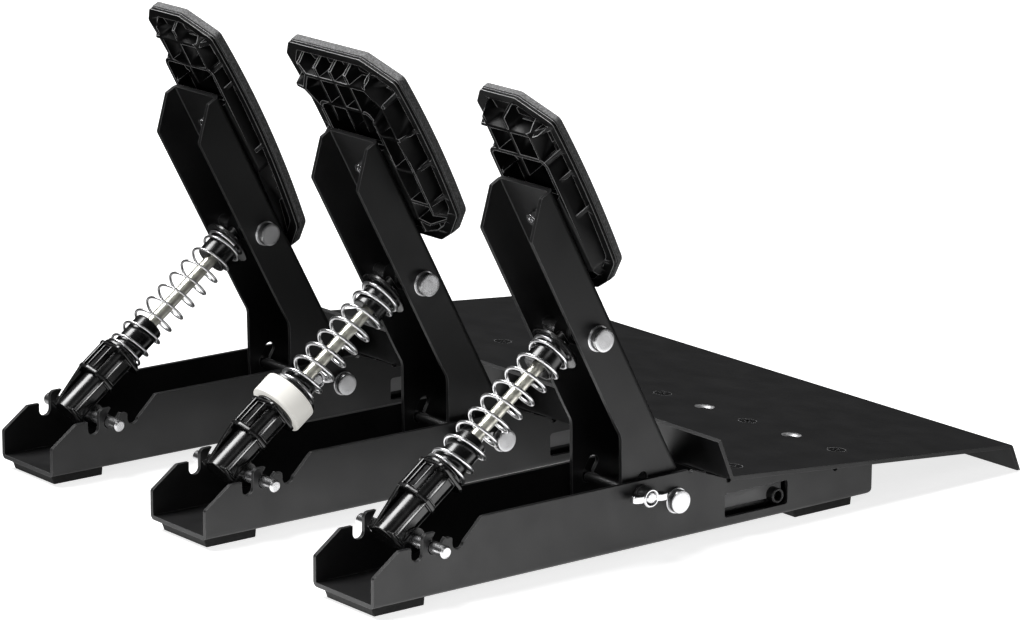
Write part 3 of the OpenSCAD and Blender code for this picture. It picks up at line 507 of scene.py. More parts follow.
def addPrism(work, matrix, outline, low, high, edge, segments=2):
    part = bmesh.new()
    rows = [[part.verts.new((p[0], p[1], z)) for p in outline] for z in (low, high)]
    caps = [part.faces.new(list(reversed(rows[0]))), part.faces.new(rows[1])]
    count = len(outline)
    for k in range(count):
        m = (k + 1) % count
        part.faces.new((rows[0][k], rows[0][m], rows[1][m], rows[1][k]))
    bmesh.ops.recalc_face_normals(part, faces=part.faces)
    if edge:
        rim = {line for cap in caps for line in cap.edges}
        bmesh.ops.bevel(part, geom=list(rim), offset=edge, segments=segments, profile=0.5,
                        affect="EDGES", clamp_overlap=True)
    mergeInto(work, part, matrix)


def splitLong(outline, longest=1.0, parts=4):
    # Keeps a bore round that is joined point by point to the outline
    return [a.lerp(b, j / parts) for a, b in zip(outline, outline[1:] + outline[:1])
            for j in range(parts if (b - a).length > longest else 1)]


def addPlate(work, matrix, outline, bore, low, high, edge):
    # A flat plate with a round hole
    part = bmesh.new()
    outline = splitLong(outline)
    turns = [math.atan2(p[1], p[0]) for p in outline]
    rows = []
    for z in (low, high):
        outer = [part.verts.new((p[0], p[1], z)) for p in outline]
        inner = [part.verts.new((bore * math.cos(t), bore * math.sin(t), z)) for t in turns]
        rows.append((outer, inner))
    (outerLow, innerLow), (outerHigh, innerHigh) = rows
    count = len(outline)
    for k in range(count):
        m = (k + 1) % count
        part.faces.new((outerLow[k], innerLow[k], innerLow[m], outerLow[m]))
        part.faces.new((outerHigh[k], outerHigh[m], innerHigh[m], innerHigh[k]))
        part.faces.new((outerLow[k], outerLow[m], outerHigh[m], outerHigh[k]))
        part.faces.new((innerLow[k], innerHigh[k], innerHigh[m], innerLow[m]))
    bmesh.ops.recalc_face_normals(part, faces=part.faces)
    rim = [part.edges.get((row[k], row[(k + 1) % count]))
           for row in (outerLow, outerHigh) for k in range(count)]
    bmesh.ops.bevel(part, geom=rim, offset=edge, segments=2, profile=0.5, affect="EDGES", clamp_overlap=True)
    mergeInto(work, part, matrix)


# Each pedal's frame has its origin under the rear end of its channel, and places on it are (y, z)
layout = {
    "shift": (-31.5, 196.336, 5.0),
    "pedals": {"clutch": -128.5, "brake": 0.0, "throttle": 128.5},
    "pivot": (-172.5, 19.1), "armLean": 61.8, "upperPinUp": 94.0,
    "lowerPin": (-32.9, 22.6), "lugDrop": 6.7, "stopBolt": (-152.375, 25.0995),
    "channelSide": 22.5, "armSide": 18.75,
}
turnX = {k: Matrix.Rotation(math.radians(a), 4, "Y") for k, a in (("left", -90), ("right", 90))}


def solveDamper(v):
    # The damper's axis ends at the upper pin and passes above the lower pin by the lug's drop
    lean = math.radians(v["armLean"])
    upper = Vector(v["pivot"]) + v["upperPinUp"] * Vector((math.cos(lean), math.sin(lean)))
    reach = upper - Vector(v["lowerPin"])
    slope = math.atan2(reach.y, -reach.x) - math.asin(v["lugDrop"] / reach.length)
    return upper, slope, math.sqrt(reach.length ** 2 - v["lugDrop"] ** 2)


upperPin, damperSlope, axisLength = solveDamper(layout)


def moved(x, y, z):
    return Matrix.Translation((x, y, z))


def placed(pedal, y, z):
    sx, sy, sz = layout["shift"]
    return moved(layout["pedals"][pedal] + sx, y + sy, z + sz)


def damperMatrix(pedal):
    # z runs along the damper, from the foot of its axis up to the upper pin
    turn = Matrix.Rotation(math.pi / 2 - damperSlope, 4, "X")
    return placed(pedal, *upperPin) @ turn @ moved(0, 0, -axisLength)


def armMatrix(pedal):
    return placed(pedal, *layout["pivot"]) @ Matrix.Rotation(math.radians(layout["armLean"] - 90), 4, "X")


# Sheet parts and mouldings keep the node's own shape, with clean normals and edges softened by a width
formed = {
    "widths": {"heel_plate": 0, "channel": 0, "arm": 0, "pad_carrier": 0,
               "rubber_feet": 0.5, "pad_screws": 0.2, "pad_cover": 0.8},
    "weld": 0.02, "flatTo": 0.6, "bevelFrom": 28, "segments": 3, "sharpFrom": 22, "normalWeight": 100,
    "coneUp": (0.35, 0.93), "coneReach": 6.2,
}


def brightenCountersinks(mesh, v):
    # The cones of the four open holes are bare metal
    mesh.materials.append(materials["bare_cone"])
    holes = [Vector(m["pos_m"]) for m in record["mounts"] if m["name"].startswith("plate_hole")]
    low, high = v["coneUp"]
    for polygon in mesh.polygons:
        if low < polygon.normal.z < high and any(
                (polygon.center.xy - hole.xy).length < v["coneReach"] * mm for hole in holes):
            polygon.material_index = 1


def formedCopy(node, width, v):
    work = bmesh.new()
    work.from_mesh(frame["nodes"][node].data)
    bmesh.ops.remove_doubles(work, verts=work.verts, dist=v["weld"] * mm)
    if width:
        bmesh.ops.dissolve_limit(work, angle_limit=math.radians(v["flatTo"]),
                                 verts=work.verts, edges=work.edges)
    mesh = bpy.data.meshes.new(node + "_formed")
    work.to_mesh(mesh)
    work.free()
    for polygon in mesh.polygons:
        polygon.use_smooth = True
    mesh.set_sharp_from_angle(angle=math.radians(180 if width else v["sharpFrom"]))
    obj = bpy.data.objects.new(node + "_formed", mesh)
    bpy.context.scene.collection.objects.link(obj)
    mesh.materials.append(materials[slotOf[node]])
    if width:
        bevel = obj.modifiers.new("edges", "BEVEL")
        bevel.width = width * mm
        bevel.segments = v["segments"]
        bevel.limit_method = "ANGLE"
        bevel.angle_limit = math.radians(v["bevelFrom"])
        bevel.use_clamp_overlap = True
        bevel.miter_outer = "MITER_ARC"
    normals = obj.modifiers.new("normals", "WEIGHTED_NORMAL")
    normals.weight = v["normalWeight"]
    normals.keep_sharp = True
    evaluated = obj.evaluated_get(bpy.context.evaluated_depsgraph_get())
    final = bpy.data.meshes.new_from_object(evaluated)
    obj.modifiers.clear()
    obj.data = final
    if node == "heel_plate":
        brightenCountersinks(final, v)
    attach(obj, bodyOf[node])
    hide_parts(node)


for node in frame["nodes"]:
    for ending, width in formed["widths"].items():
        if node == ending or node.endswith("_" + ending):
            formedCopy(node, width, formed)
print("sheet parts and pads formed")

# Damper housings: a core with a foot, a belt and a flange, panelled ribs, a sleeve above and lugs below
housing = {
    "coreR": 6.9, "boreR": 3.35, "boreFloor": 0.0, "edge": 0.3, "steps": 96,
    "end": -7.4, "footUp": 0.1, "endT": 1.3, "middle": 14.4, "middleT": 2.0, "top": 30.6, "seat": 33.4,
    "sleeveR": 7.5, "sleeveTop": 54.0, "sleeveIn": 2.0, "discR": 10.5, "discT": 1.4,
    "lip": ((0, -1.0), (-0.3, -0.35), (-1.0, 0)), "boreLip": 0.5,
    "flange": 9.7, "corner": 3.6, "flangeGap": 1.2, "footCorner": 0.5, "footPast": 0.2,
    "belt": ((-9.3, -3.2, 0.5), (-9.3, 3.2, 0.8), (-5.5, 7.2, 3), (0.5, 10.1, 2), (6.4, 10.1, 0.4),
             (7.2, -6, 2), (-6, -7, 2)),
    "ribFront": 9.4, "ribHalf": 3.0, "ribIn": 1.5, "frame": 0.8, "recess": 1.0, "inset": 0.1,
    "finTo": 6.3, "finOut": 9.8, "finFoot": 5.0, "finIn": 1.0, "finLap": 0.5, "rimDepth": 1.76,
    "ledgeFrom": 4.0, "ledgeUp": 1.9,
    "lugR": 6.2, "lugHalf": 9.0, "lugEdge": 0.4, "pinR": 3.05, "webIn": 1.0, "webHalf": 5.5,
}


def addPanel(work, matrix, low, high, v):
    # The rib's face is a sunk panel in a raised frame, facing local -x
    half, front, back, inset = v["ribHalf"], v["ribFront"], v["ribIn"] - v["coreR"], v["inset"]
    addBlock(work, matrix, (-front + v["recess"], -half + inset, low), (back, half - inset, high), 0)
    for side in (-1, 1):
        edges = sorted((side * half, side * (half - v["frame"])))
        addBlock(work, matrix, (-front, edges[0], low), (back, edges[1], high), v["edge"])
    for z in (low + inset, high - inset - v["frame"]):
        wide = half - inset / 2
        addBlock(work, matrix, (-front, -wide, z), (back, wide, z + v["frame"]), v["edge"])


def addFin(work, matrix, v):
    # A thin fin beside the core, with a raised rim on the side that faces the camera
    out, foot, rim, x, core = v["finOut"], v["finFoot"], v["frame"], v["finTo"], v["finIn"]
    side = matrix @ Matrix(((0, 0, 1, 0), (1, 0, 0, 0), (0, 1, 0, 0), (0, 0, 0, 1)))
    low, high, middle = v["end"], v["top"] + v["finLap"], v["middle"] + v["finLap"]
    ledge, start, under = middle + v["ledgeUp"], v["ledgeFrom"], 2 * v["inset"]
    sheets = [[(core, middle), (out - under, middle), (out - under, high), (core, high)],
              [(core, low), (foot - under, low), (out - under, middle), (core, middle)]]
    for outline in sheets:
        addPrism(work, side, outline, x - rim, x - v["inset"], 0)
    rims = [[(out - rim, middle), (out, middle), (out, high), (out - rim, high)],
            [(foot - rim, low), (foot, low), (out, middle), (out - rim, middle)],
            [(start, ledge), (out, ledge), (out, ledge + rim), (start, ledge + rim)]]
    for outline in rims:
        addPrism(work, side, outline, x - v["rimDepth"], x, v["edge"])


def addLug(work, place, v):
    half, edge, drop = v["lugHalf"], v["lugEdge"], layout["lugDrop"]
    tube = tubeProfile(v["pinR"], v["lugR"], -half, half, edge)
    addLathe(work, place @ moved(0, -drop, 0) @ turnX["right"], tube)
    wide, low = half - v["webIn"], -drop - v["webIn"]
    addBlock(work, place, (-wide, low, -v["webHalf"]), (wide, -v["boreR"] - edge, v["webHalf"]), edge)


def makeHousing(pedal, v):
    work = newWork()
    place = damperMatrix(pedal)
    core, bore, floor, e, steps = v["coreR"], v["boreR"], v["boreFloor"], v["edge"], v["steps"]
    end, middle, beltTop, top, seat = v["end"], v["middle"], v["middle"] + v["middleT"], v["top"], v["seat"]
    addLathe(work, place, [(0, end), (core - e, end), (core, end + e), (core, seat),
                           (bore, seat), (bore, floor), (0, floor)], steps)
    sleeve, low, high, lip = v["sleeveR"], seat - v["sleeveIn"], v["sleeveTop"], v["boreLip"]
    addLathe(work, place, [(bore, low), (sleeve, low), *offsets(v["lip"], sleeve, high), (bore + lip, high),
                           (bore, high - lip)], steps)
    addLathe(work, place, tubeProfile(bore, v["discR"], seat - v["discT"], seat, e), steps)
    f, c = v["flange"], v["corner"]
    square = roundedOutline([(-f, -f, c), (f, -f, c), (f, f, c), (-f, f, c)])
    addPlate(work, place, square, bore, top, seat - v["flangeGap"], e)
    addPlate(work, place, roundedOutline(v["belt"]), bore, middle, beltTop, e)
    front, half, fin, c = v["ribFront"], v["ribHalf"] + v["footPast"], v["finFoot"], v["footCorner"]
    foot = roundedOutline([(-front, -half, c), (front, -half, c), (front, fin, c), (-front, fin, c)])
    addPrism(work, place, foot, end + v["footUp"], end + v["footUp"] + v["endT"], e)
    # Ribs above the belt on both flanks and on top, below it on the flanks alone
    quarter = [place @ Matrix.Rotation(math.pi / 2 * k, 4, "Z") for k in range(4)]
    for k in (0, 2, 3):
        addPanel(work, quarter[k], beltTop, top, v)
    for k in (0, 2):
        addPanel(work, quarter[k], end + v["endT"], middle, v)
    addFin(work, place, v)
    addLug(work, place, v)
    newPiece(pedal + "_housing", work, "damper_plastic", pedal + "_housing_body", pedal + "_damper_housing")


# Spring caps: a flanged collar with a hollow lower end, its corners given as offsets in radius and height
cap = {
    "up": 12.4, "bodyR": 7.8, "bodyL": 12.0, "flangeR": 12.5, "flangeT": 1.7, "boreR": 3.3, "steps": 96,
    "mouth": ((0, 1.4), (1.0, 1.2)),
    "end": ((-1.3, 0.2), (-0.9, 0), (-0.25, 0), (0, 0.3)),
    "fillet": ((0, -1.2), (0.35, -0.4), (1.2, 0)),
    "under": ((-0.5, 0), (0, 0.3)),
    "over": ((0, -0.35), (-0.4, 0)),
    "collar": ((4.9, 0), (4.3, 0.3), (3.3, 1.6), (2.5, 1.9), (0, 1.9)),
}


def makeCap(pedal, v):
    work = newWork()
    place = damperMatrix(pedal) @ moved(0, 0, axisLength - v["up"])
    low, r, flange, t, bore = -v["bodyL"], v["bodyR"], v["flangeR"], v["flangeT"], v["boreR"]
    corners = (("mouth", bore, low), ("end", r, low), ("fillet", r, 0), ("under", flange, 0),
               ("over", flange, t), ("collar", bore, t))
    profile = [point for key, x, z in corners for point in offsets(v[key], x, z)]
    addLathe(work, place, profile, v["steps"])
    newPiece(pedal + "_cap", work, "damper_plastic", pedal + "_rod_body", pedal + "_spring_cap")


# Piston rods: a bright rod with a black neck and eye on the upper pin
rod = {
    "from": 38.0, "r": 3.0, "edge": 0.4, "into": 0.6, "steps": 64,
    "neckL": 9.2, "neckR": 4.0, "neckEdge": 0.3, "neckInto": 1.5,
    "eyeR": 6.2, "eyeBore": 4.2, "eyeHalf": 5.0, "eyeEdge": 0.4,
}


def makeRod(pedal, v):
    work = newWork()
    place = damperMatrix(pedal)
    top, eye, half = axisLength, v["eyeR"], v["eyeHalf"]
    addLathe(work, place, shaftProfile(v["r"], v["from"], top - eye + v["into"], v["edge"]), v["steps"])
    neck = shaftProfile(v["neckR"], top - v["neckL"], top - eye + v["neckInto"], v["neckEdge"])
    addLathe(work, place, neck, material=1)
    addLathe(work, place @ moved(0, 0, top) @ turnX["right"],
             tubeProfile(v["eyeBore"], eye, -half, half, v["eyeEdge"]), material=1)
    newPiece(pedal + "_rod", work, "rod_steel", pedal + "_rod_body", pedal + "_damper_rod",
             extra=("black_screws",))


# Pins: each head is a flat turned disc, and rings across its face carry the turning marks
pins = {
    "r": 3.0, "edge": 0.4, "into": 2.0,
    "headR": 5.5, "headH": 4.2, "headEdge": 0.45, "headRound": (0.12, 0.14), "headFoot": 0.15,
    "rings": (0.35, 0.7), "washerR": 6.2, "washerT": 1.2, "washerEdge": 0.25,
    "upperWasherEdge": 0.2, "upperInto": 1.0, "upperPast": 1.2,
    "nutR": 5.75, "nutH": 5.0, "nutRim": (0.78, 0.86), "nutTop": 0.3, "nutEdge": 0.25, "pivotNutLess": 1.0,
    "stub": 9.5, "chamfer": 0.9, "chamferSoft": 0.15,
}


def addHead(work, matrix, height, v):
    r, foot, (inner, outer) = v["headR"], v["headFoot"], v["rings"]
    edge, (across, down) = v["headEdge"], v["headRound"]
    addLathe(work, matrix, [
        (0, height), (r * inner, height), (r * outer, height), (r - edge, height),
        (r - across, height - down), (r, height - edge), (r, foot), (r - foot, 0), (v["r"], 0), (0, 0)])


def addNut(work, matrix, r, height, v):
    outline = [(r * math.cos(math.pi / 3 * k), r * math.sin(math.pi / 3 * k)) for k in range(6)]
    low, (inner, outer) = height - v["nutTop"], v["nutRim"]
    addPrism(work, matrix, outline, 0, low, v["nutEdge"])
    addLathe(work, matrix, [(0, height), (r * inner, height), (r * outer, low), (0, low)])


def makePivot(pedal, v):
    work = newWork()
    side, r, t = layout["channelSide"], v["r"], v["washerT"]
    pivot = placed(pedal, *layout["pivot"])
    out = pivot @ moved(-side, 0, 0) @ turnX["left"]
    addLathe(work, out, washerProfile(r, v["washerR"], t, v["washerEdge"]))
    under = t + v["washerEdge"]
    addHead(work, out @ moved(0, 0, under), v["headH"] - under, v)
    addLathe(work, pivot @ turnX["right"],
             shaftProfile(r, -side - v["into"], side + v["nutH"], highEdge=v["edge"]))
    addNut(work, pivot @ moved(side, 0, 0) @ turnX["right"], v["nutR"], v["nutH"] - v["pivotNutLess"], v)
    newPiece(pedal + "_pivot", work, "pin_steel", "base", pedal + "_pivot_axle")


def makeUpperPin(pedal, v):
    work = newWork()
    arm, r, t = layout["armSide"], v["r"], v["washerT"]
    upper = armMatrix(pedal) @ moved(0, 0, layout["upperPinUp"])
    washer = upper @ moved(-arm, 0, 0) @ turnX["left"]
    addLathe(work, washer, washerProfile(r, v["washerR"], t, v["upperWasherEdge"]))
    addHead(work, washer @ moved(0, 0, t), v["headH"], v)
    end = arm + v["nutH"] + v["upperPast"]
    addLathe(work, upper @ turnX["right"], shaftProfile(r, -arm - v["upperInto"], end, highEdge=v["edge"]))
    addNut(work, upper @ moved(arm, 0, 0) @ turnX["right"], v["nutR"], v["nutH"], v)
    newPiece(pedal + "_upper_pin_turned", work, "pin_steel", pedal + "_arm_body", pedal + "_upper_pin")


def makeLowerPin(pedal, v):
    work = newWork()
    reach, r, c, soft = layout["channelSide"] + v["stub"], v["r"], v["chamfer"], v["chamferSoft"]
    half = [(0, reach), (r - c, reach), (r - soft, reach - c + soft), (r, reach - c)]
    profile = [(x, -z) for x, z in half] + half[::-1]
    addLathe(work, placed(pedal, *layout["lowerPin"]) @ turnX["right"], profile)
    newPiece(pedal + "_lower_pin_turned", work, "pin_steel", "base", pedal + "_lower_pin")


# Stop bolt with a black washer, and the wing nut on it
stop = {
    "r": 2.5, "edge": 0.4, "past": 0.1, "nutR": 4.5, "nutH": 3.5,
    "washerR": 5.1, "washerT": 1.2, "washerEdge": 0.25,
    "hubR": 4.5, "hubTop": 4.2, "hubH": 5.8, "hubGap": 0.05, "spin": 86,
    "hubFoot": ((0, 0.05), (0.1, 0.5), (0, 1.4)), "hubHead": ((0.2, -0.5), (-0.2, 0), (-0.7, 0)),
    "hubMouth": ((0.3, -1.2),),
    "wing": ((1.6, 0.7, 0.4), (5.0, 0.7, 2.0), (9.6, 1.4, 1.5), (10.8, 5.4, 2.0), (6.0, 6.4, 2.2),
             (3.4, 5.2, 1.5), (1.6, 4.8, 0.4)),
    "wingSteps": 5, "wingT": 3.4, "wingEdge": 1.1, "wingSegments": 4,
}


def makeStop(pedal, v, pinValues):
    side, r = layout["channelSide"], v["r"]
    place = placed(pedal, *layout["stopBolt"])
    work = newWork()
    end = side + v["washerT"] + v["hubH"] - v["past"]
    addLathe(work, place @ turnX["right"], shaftProfile(r, -end, side + v["past"], v["edge"]))
    addNut(work, place @ moved(side, 0, 0) @ turnX["right"], v["nutR"], v["nutH"], pinValues)
    seat = place @ moved(-side, 0, 0) @ turnX["left"]
    addLathe(work, seat, washerProfile(r, v["washerR"], v["washerT"], v["washerEdge"]), material=1)
    newPiece(pedal + "_stop", work, "pin_steel", "base", pedal + "_stop_bolt", extra=("black_screws",))

    work = newWork()
    hub = seat @ moved(0, 0, v["washerT"]) @ Matrix.Rotation(math.radians(v["spin"]), 4, "Z")
    high, gap = v["hubH"], v["hubGap"]
    addLathe(work, hub, [(r + gap, gap), *offsets(v["hubFoot"], v["hubR"], 0),
                         *offsets(v["hubHead"], v["hubTop"], high), *offsets(v["hubMouth"], r, high)])
    wing = roundedOutline(v["wing"], v["wingSteps"])
    stand = Matrix(((1, 0, 0, 0), (0, 0, -1, 0), (0, 1, 0, 0), (0, 0, 0, 1)))
    for k in (0, 1):
        turned = hub @ Matrix.Rotation(math.pi * k, 4, "Z") @ stand
        addPrism(work, turned, wing, -v["wingT"] / 2, v["wingT"] / 2, v["wingEdge"], v["wingSegments"])
    newPiece(pedal + "_wings", work, "bright_steel", "base", pedal + "_wing_nut")


# Brake elastomer and its washer
elastomerValues = {"seat": 33.4, "h": 11.0, "r": 13.85, "bore": 7.55, "edge": 0.7, "soft": (0.2, 0.25),
                   "washerT": 1.6, "washerR": 13.1, "washerEdge": 0.3, "steps": 96}


def makeElastomer(v):
    place = damperMatrix("brake") @ moved(0, 0, v["seat"])
    e, r, h, bore = v["edge"], v["r"], v["h"], v["bore"]
    across, along = (share * e for share in v["soft"])
    work = newWork()
    addLathe(work, place, [(bore, 0), (r - e, 0), (r - across, along), (r, e),
                           (r, h - e), (r - across, h - along), (r - e, h), (bore, h)], v["steps"])
    newPiece("brake_rubber_ring", work, "white_elastomer", "brake_housing_body", "brake_elastomer")
    work = newWork()
    washer = tubeProfile(bore, v["washerR"], 0, v["washerT"], v["washerEdge"])
    addLathe(work, place @ moved(0, 0, h), washer, v["steps"])
    newPiece("brake_ring_washer", work, "damper_plastic", "brake_housing_body", "brake_elastomer_washer")


# Sensor modules, set back behind the windows of the channels, on a narrower base
sensor = {
    "face": 17.4, "back": -241.9, "length": 40.0, "low": 7.6, "high": 15.8, "edge": 0.5, "segments": 3,
    "port": (-236.0, 9.5), "bossR": 3.6, "portR": 2.4, "bossOut": 22.1, "bossIn": 0.2, "bossEdge": 0.4,
    "portEdge": 0.3, "plug": (2.5, 0.05, 0.1), "baseHalf": 16.4, "baseLow": 2.2, "baseIn": 0.5, "baseUp": 1.0,
    "baseEdge": 0.3,
}


def makeSensor(pedal, v):
    work = newWork()
    place = placed(pedal, 0, 0)
    face, back, end = v["face"], v["back"], v["back"] + v["length"]
    addBlock(work, place, (-face, back, v["low"]), (face, end, v["high"]), v["edge"], v["segments"])
    half, inset = v["baseHalf"], v["baseIn"]
    addBlock(work, place, (-half, back + inset, v["baseLow"]), (half, end - inset, v["low"] + v["baseUp"]),
             v["baseEdge"], material=1)
    boss = place @ moved(-face, *v["port"]) @ turnX["left"]
    out, low, ring, bore = v["bossOut"] - face, -v["bossIn"], v["bossR"], v["portR"]
    e, lip = v["bossEdge"], v["portEdge"]
    addLathe(work, boss, [(bore, low), (ring, low), (ring, out - e), (ring - e, out), (bore + lip, out),
                          (bore, out - lip)], material=1)
    addLathe(work, boss, shaftProfile(*v["plug"]), material=1)
    newPiece(pedal + "_module", work, "module_plastic", "base", pedal + "_sensor", extra=("black_screws",))


for pedal in layout["pedals"]:
    makeSensor(pedal, sensor)
    makeHousing(pedal, housing)
    makeCap(pedal, cap)
    makeRod(pedal, rod)
    makePivot(pedal, pins)
    makeUpperPin(pedal, pins)
    makeLowerPin(pedal, pins)
    makeStop(pedal, stop, pins)
makeElastomer(elastomerValues)
print("dampers and pins made")

# Springs: a Geometry Nodes tree turns the helix into round wire
springValues = {
    "seat": 33.5, "capAt": 111.232, "pitch": 8.6, "closeCurls": 1, "closeGap": 0.5, "ringsPerCurl": 40,
    "wireSides": 14, "smoothAngle": 50,
    "kinds": {
        "clutch": {"wire": 1.65, "coil": 20.6, "lift": 0.0, "keep": 0.581},
        "brake": {"wire": 1.8, "coil": 20.8, "lift": 12.6, "keep": 0.70},
        "throttle": {"wire": 1.3, "coil": 20.0, "lift": 0.0, "keep": 0.581},
    },
}


def wireTree():
    tree = bpy.data.node_groups.new("roundWire", "GeometryNodeTree")
    sockets = tree.interface
    for name, kind in (("Geometry", "Geometry"), ("Wire radius", "Float"), ("Wire sides", "Int"),
                       ("Wire material", "Material")):
        sockets.new_socket(name=name, in_out="INPUT", socket_type="NodeSocket" + kind)
    sockets.new_socket(name="Geometry", in_out="OUTPUT", socket_type="NodeSocketGeometry")
    start = tree.nodes.new("NodeGroupInput")
    end = tree.nodes.new("NodeGroupOutput")
    path = tree.nodes.new("GeometryNodeMeshToCurve")
    ring = tree.nodes.new("GeometryNodeCurvePrimitiveCircle")
    sweep = tree.nodes.new("GeometryNodeCurveToMesh")
    sweep.inputs["Fill Caps"].default_value = True
    realize = tree.nodes.new("GeometryNodeRealizeInstances")
    paint = tree.nodes.new("GeometryNodeSetMaterial")
    link = tree.links.new
    link(start.outputs["Geometry"], path.inputs["Mesh"])
    link(start.outputs["Wire sides"], ring.inputs["Resolution"])
    link(start.outputs["Wire radius"], ring.inputs["Radius"])
    link(path.outputs["Curve"], sweep.inputs["Curve"])
    link(ring.outputs["Curve"], sweep.inputs["Profile Curve"])
    link(sweep.outputs["Mesh"], realize.inputs["Geometry"])
    link(realize.outputs["Geometry"], paint.inputs["Geometry"])
    link(start.outputs["Wire material"], paint.inputs["Material"])
    link(paint.outputs["Geometry"], end.inputs["Geometry"])
    return tree


def applyTree(obj, tree, **values):
    modifier = obj.modifiers.new(tree.name, "NODES")
    modifier.node_group = tree
    for item in tree.interface.items_tree:
        if item.in_out == "INPUT" and item.name in values:
            modifier[item.identifier] = values[item.name]
    evaluated = obj.evaluated_get(bpy.context.evaluated_depsgraph_get())
    mesh = bpy.data.meshes.new_from_object(evaluated)
    obj.modifiers.clear()
    obj.data = mesh
    return mesh


def helixPoints(place, low, high, wire, coil, v):
    # One close curl at each end, open curls between
    rise, pitch, close = wire + v["closeGap"], v["pitch"], v["closeCurls"]
    openCurls = (high - low - wire - 2 * close * rise) / pitch
    total = openCurls + 2 * close
    count = int(total * v["ringsPerCurl"])
    r = (coil - wire) / 2
    points = []
    for k in range(count + 1):
        t = total * k / count
        curls = min(t, close) + max(0, t - close - openCurls)
        z = low + wire / 2 + curls * rise + max(0, min(t - close, openCurls)) * pitch
        turn = 2 * math.pi * t
        points.append((place @ Vector((r * math.cos(turn), r * math.sin(turn), z))) * mm)
    return points


def makeSpring(pedal, tree, v):
    kind = v["kinds"][pedal]
    place = damperMatrix(pedal)
    low, wire = v["seat"] + kind["lift"], kind["wire"]
    points = helixPoints(place, low, v["capAt"], wire, kind["coil"], v)
    mesh = bpy.data.meshes.new(pedal + "_coil")
    mesh.from_pydata(points, [(k, k + 1) for k in range(len(points) - 1)], [])
    obj = bpy.data.objects.new(pedal + "_coil", mesh)
    bpy.context.scene.collection.objects.link(obj)
    final = applyTree(obj, tree, **{"Wire radius": wire / 2 * mm, "Wire sides": v["wireSides"],
                                    "Wire material": materials["spring_steel"]})
    for polygon in final.polygons:
        polygon.use_smooth = True
    final.set_sharp_from_angle(angle=math.radians(v["smoothAngle"]))
    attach(obj, pedal + "_housing_body")
    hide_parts(pedal + "_spring")
    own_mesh(obj)


springTree = wireTree()
for pedal in springValues["kinds"]:
    makeSpring(pedal, springTree, springValues)
print("springs made")

# Floor, world and light: reflections see a bright floor near the set and a dark surrounding
stageValues = {
    "size": 9.0, "colour": (0.8, 0.8, 0.8), "glow": 0.78, "dark": (0.12, 0.12, 0.12),
    "nearAt": (-0.3, 0.2, 0.0), "nearSpan": (0.15, 0.6), "nearBright": (0.98, 0.02),
    "around": {"camera": 1.0, "glossy": 0.03, "other": 0.03},
}


def rayShares(tree, camera, glossy, other):
    # One shader for the camera, one for reflections and one for all other rays
    path = addNode(tree, "ShaderNodeLightPath")
    inner = addNode(tree, "ShaderNodeMixShader")
    outer = addNode(tree, "ShaderNodeMixShader")
    tree.links.new(path.outputs["Is Glossy Ray"], inner.inputs[0])
    tree.links.new(other, inner.inputs[1])
    tree.links.new(glossy, inner.inputs[2])
    tree.links.new(path.outputs["Is Camera Ray"], outer.inputs[0])
    tree.links.new(inner.outputs[0], outer.inputs[1])
    tree.links.new(camera, outer.inputs[2])
    return outer.outputs[0]


def addShaders(tree, first, second):
    both = addNode(tree, "ShaderNodeAddShader")
    tree.links.new(first.outputs[0], both.inputs[0])
    tree.links.new(second.outputs[0], both.inputs[1])
    return both.outputs[0]


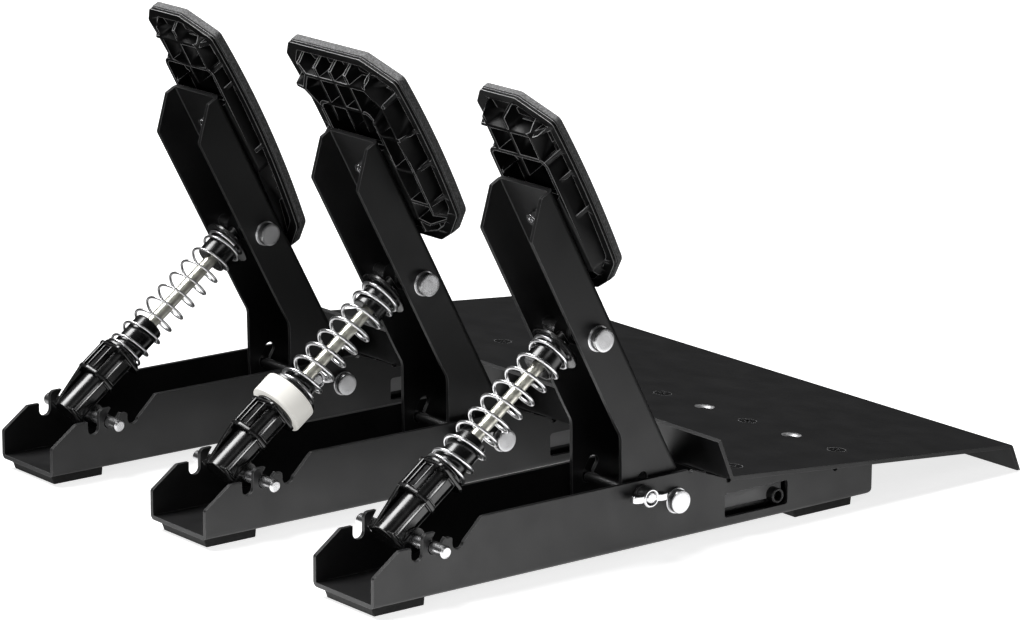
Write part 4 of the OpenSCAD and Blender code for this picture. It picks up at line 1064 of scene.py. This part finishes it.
def floorMaterial(v):
    material = bpy.data.materials.new("studioFloor")
    material.use_nodes = True
    tree = material.node_tree
    tree.nodes.clear()
    matt = addNode(tree, "ShaderNodeBsdfDiffuse", Color=(*v["colour"], 1))
    glow = addNode(tree, "ShaderNodeEmission", Strength=v["glow"])
    place = addNode(tree, "ShaderNodeTexCoord")
    far = addNode(tree, "ShaderNodeVectorMath", operation="DISTANCE")
    tree.links.new(place.outputs["Object"], far.inputs[0])
    far.inputs[1].default_value = v["nearAt"]
    fade = addRange(tree, far.outputs["Value"], v["nearSpan"], v["nearBright"],
                    interpolation_type="SMOOTHSTEP")
    lit = addNode(tree, "ShaderNodeBsdfDiffuse")
    own = addNode(tree, "ShaderNodeEmission")
    tree.links.new(fade, lit.inputs["Color"])
    tree.links.new(fade, own.inputs["Strength"])
    dark = addNode(tree, "ShaderNodeBsdfDiffuse", Color=(*v["dark"], 1))
    shares = rayShares(tree, addShaders(tree, matt, glow), addShaders(tree, lit, own), dark.outputs[0])
    out = addNode(tree, "ShaderNodeOutputMaterial")
    tree.links.new(shares, out.inputs["Surface"])
    return material


def makeFloor(v):
    half = v["size"] / 2
    corners = [(-half, -half, 0), (half, -half, 0), (half, half, 0), (-half, half, 0)]
    mesh = bpy.data.meshes.new("studioFloor")
    mesh.from_pydata(corners, [], [(0, 1, 2, 3)])
    mesh.materials.append(floorMaterial(v))
    floor = bpy.data.objects.new("studioFloor", mesh)
    bpy.context.scene.collection.objects.link(floor)


def makeWorld(v):
    world = bpy.data.worlds.new("studio")
    bpy.context.scene.world = world
    world.use_nodes = True
    tree = world.node_tree
    tree.nodes.clear()
    shades = {ray: addNode(tree, "ShaderNodeBackground", Color=(1, 1, 1, 1), Strength=strength).outputs[0]
              for ray, strength in v["around"].items()}
    out = addNode(tree, "ShaderNodeOutputWorld")
    tree.links.new(rayShares(tree, **shades), out.inputs["Surface"])


makeFloor(stageValues)
makeWorld(stageValues)

# Suns: direction towards the lamp, strength and angular width in degrees
sunValues = {
    "overhead": {"from": (0.33, 0.26, 0.91), "strength": 3.4, "angle": 34},
    "left": {"from": (-0.75, 0.35, 0.55), "strength": 0.15, "angle": 20},
    "front": {"from": (-0.2, 0.95, 0.14), "strength": 0.6, "angle": 14},
}


def makeSun(name, v):
    data = bpy.data.lights.new(name, "SUN")
    data.energy = v["strength"]
    data.angle = math.radians(v["angle"])
    obj = bpy.data.objects.new(name, data)
    bpy.context.scene.collection.objects.link(obj)
    obj.rotation_euler = Vector(v["from"]).to_track_quat("Z", "Y").to_euler()


for name, v in sunValues.items():
    makeSun(name, v)
bpy.context.scene.view_settings.view_transform = "Standard"
print("stage made")
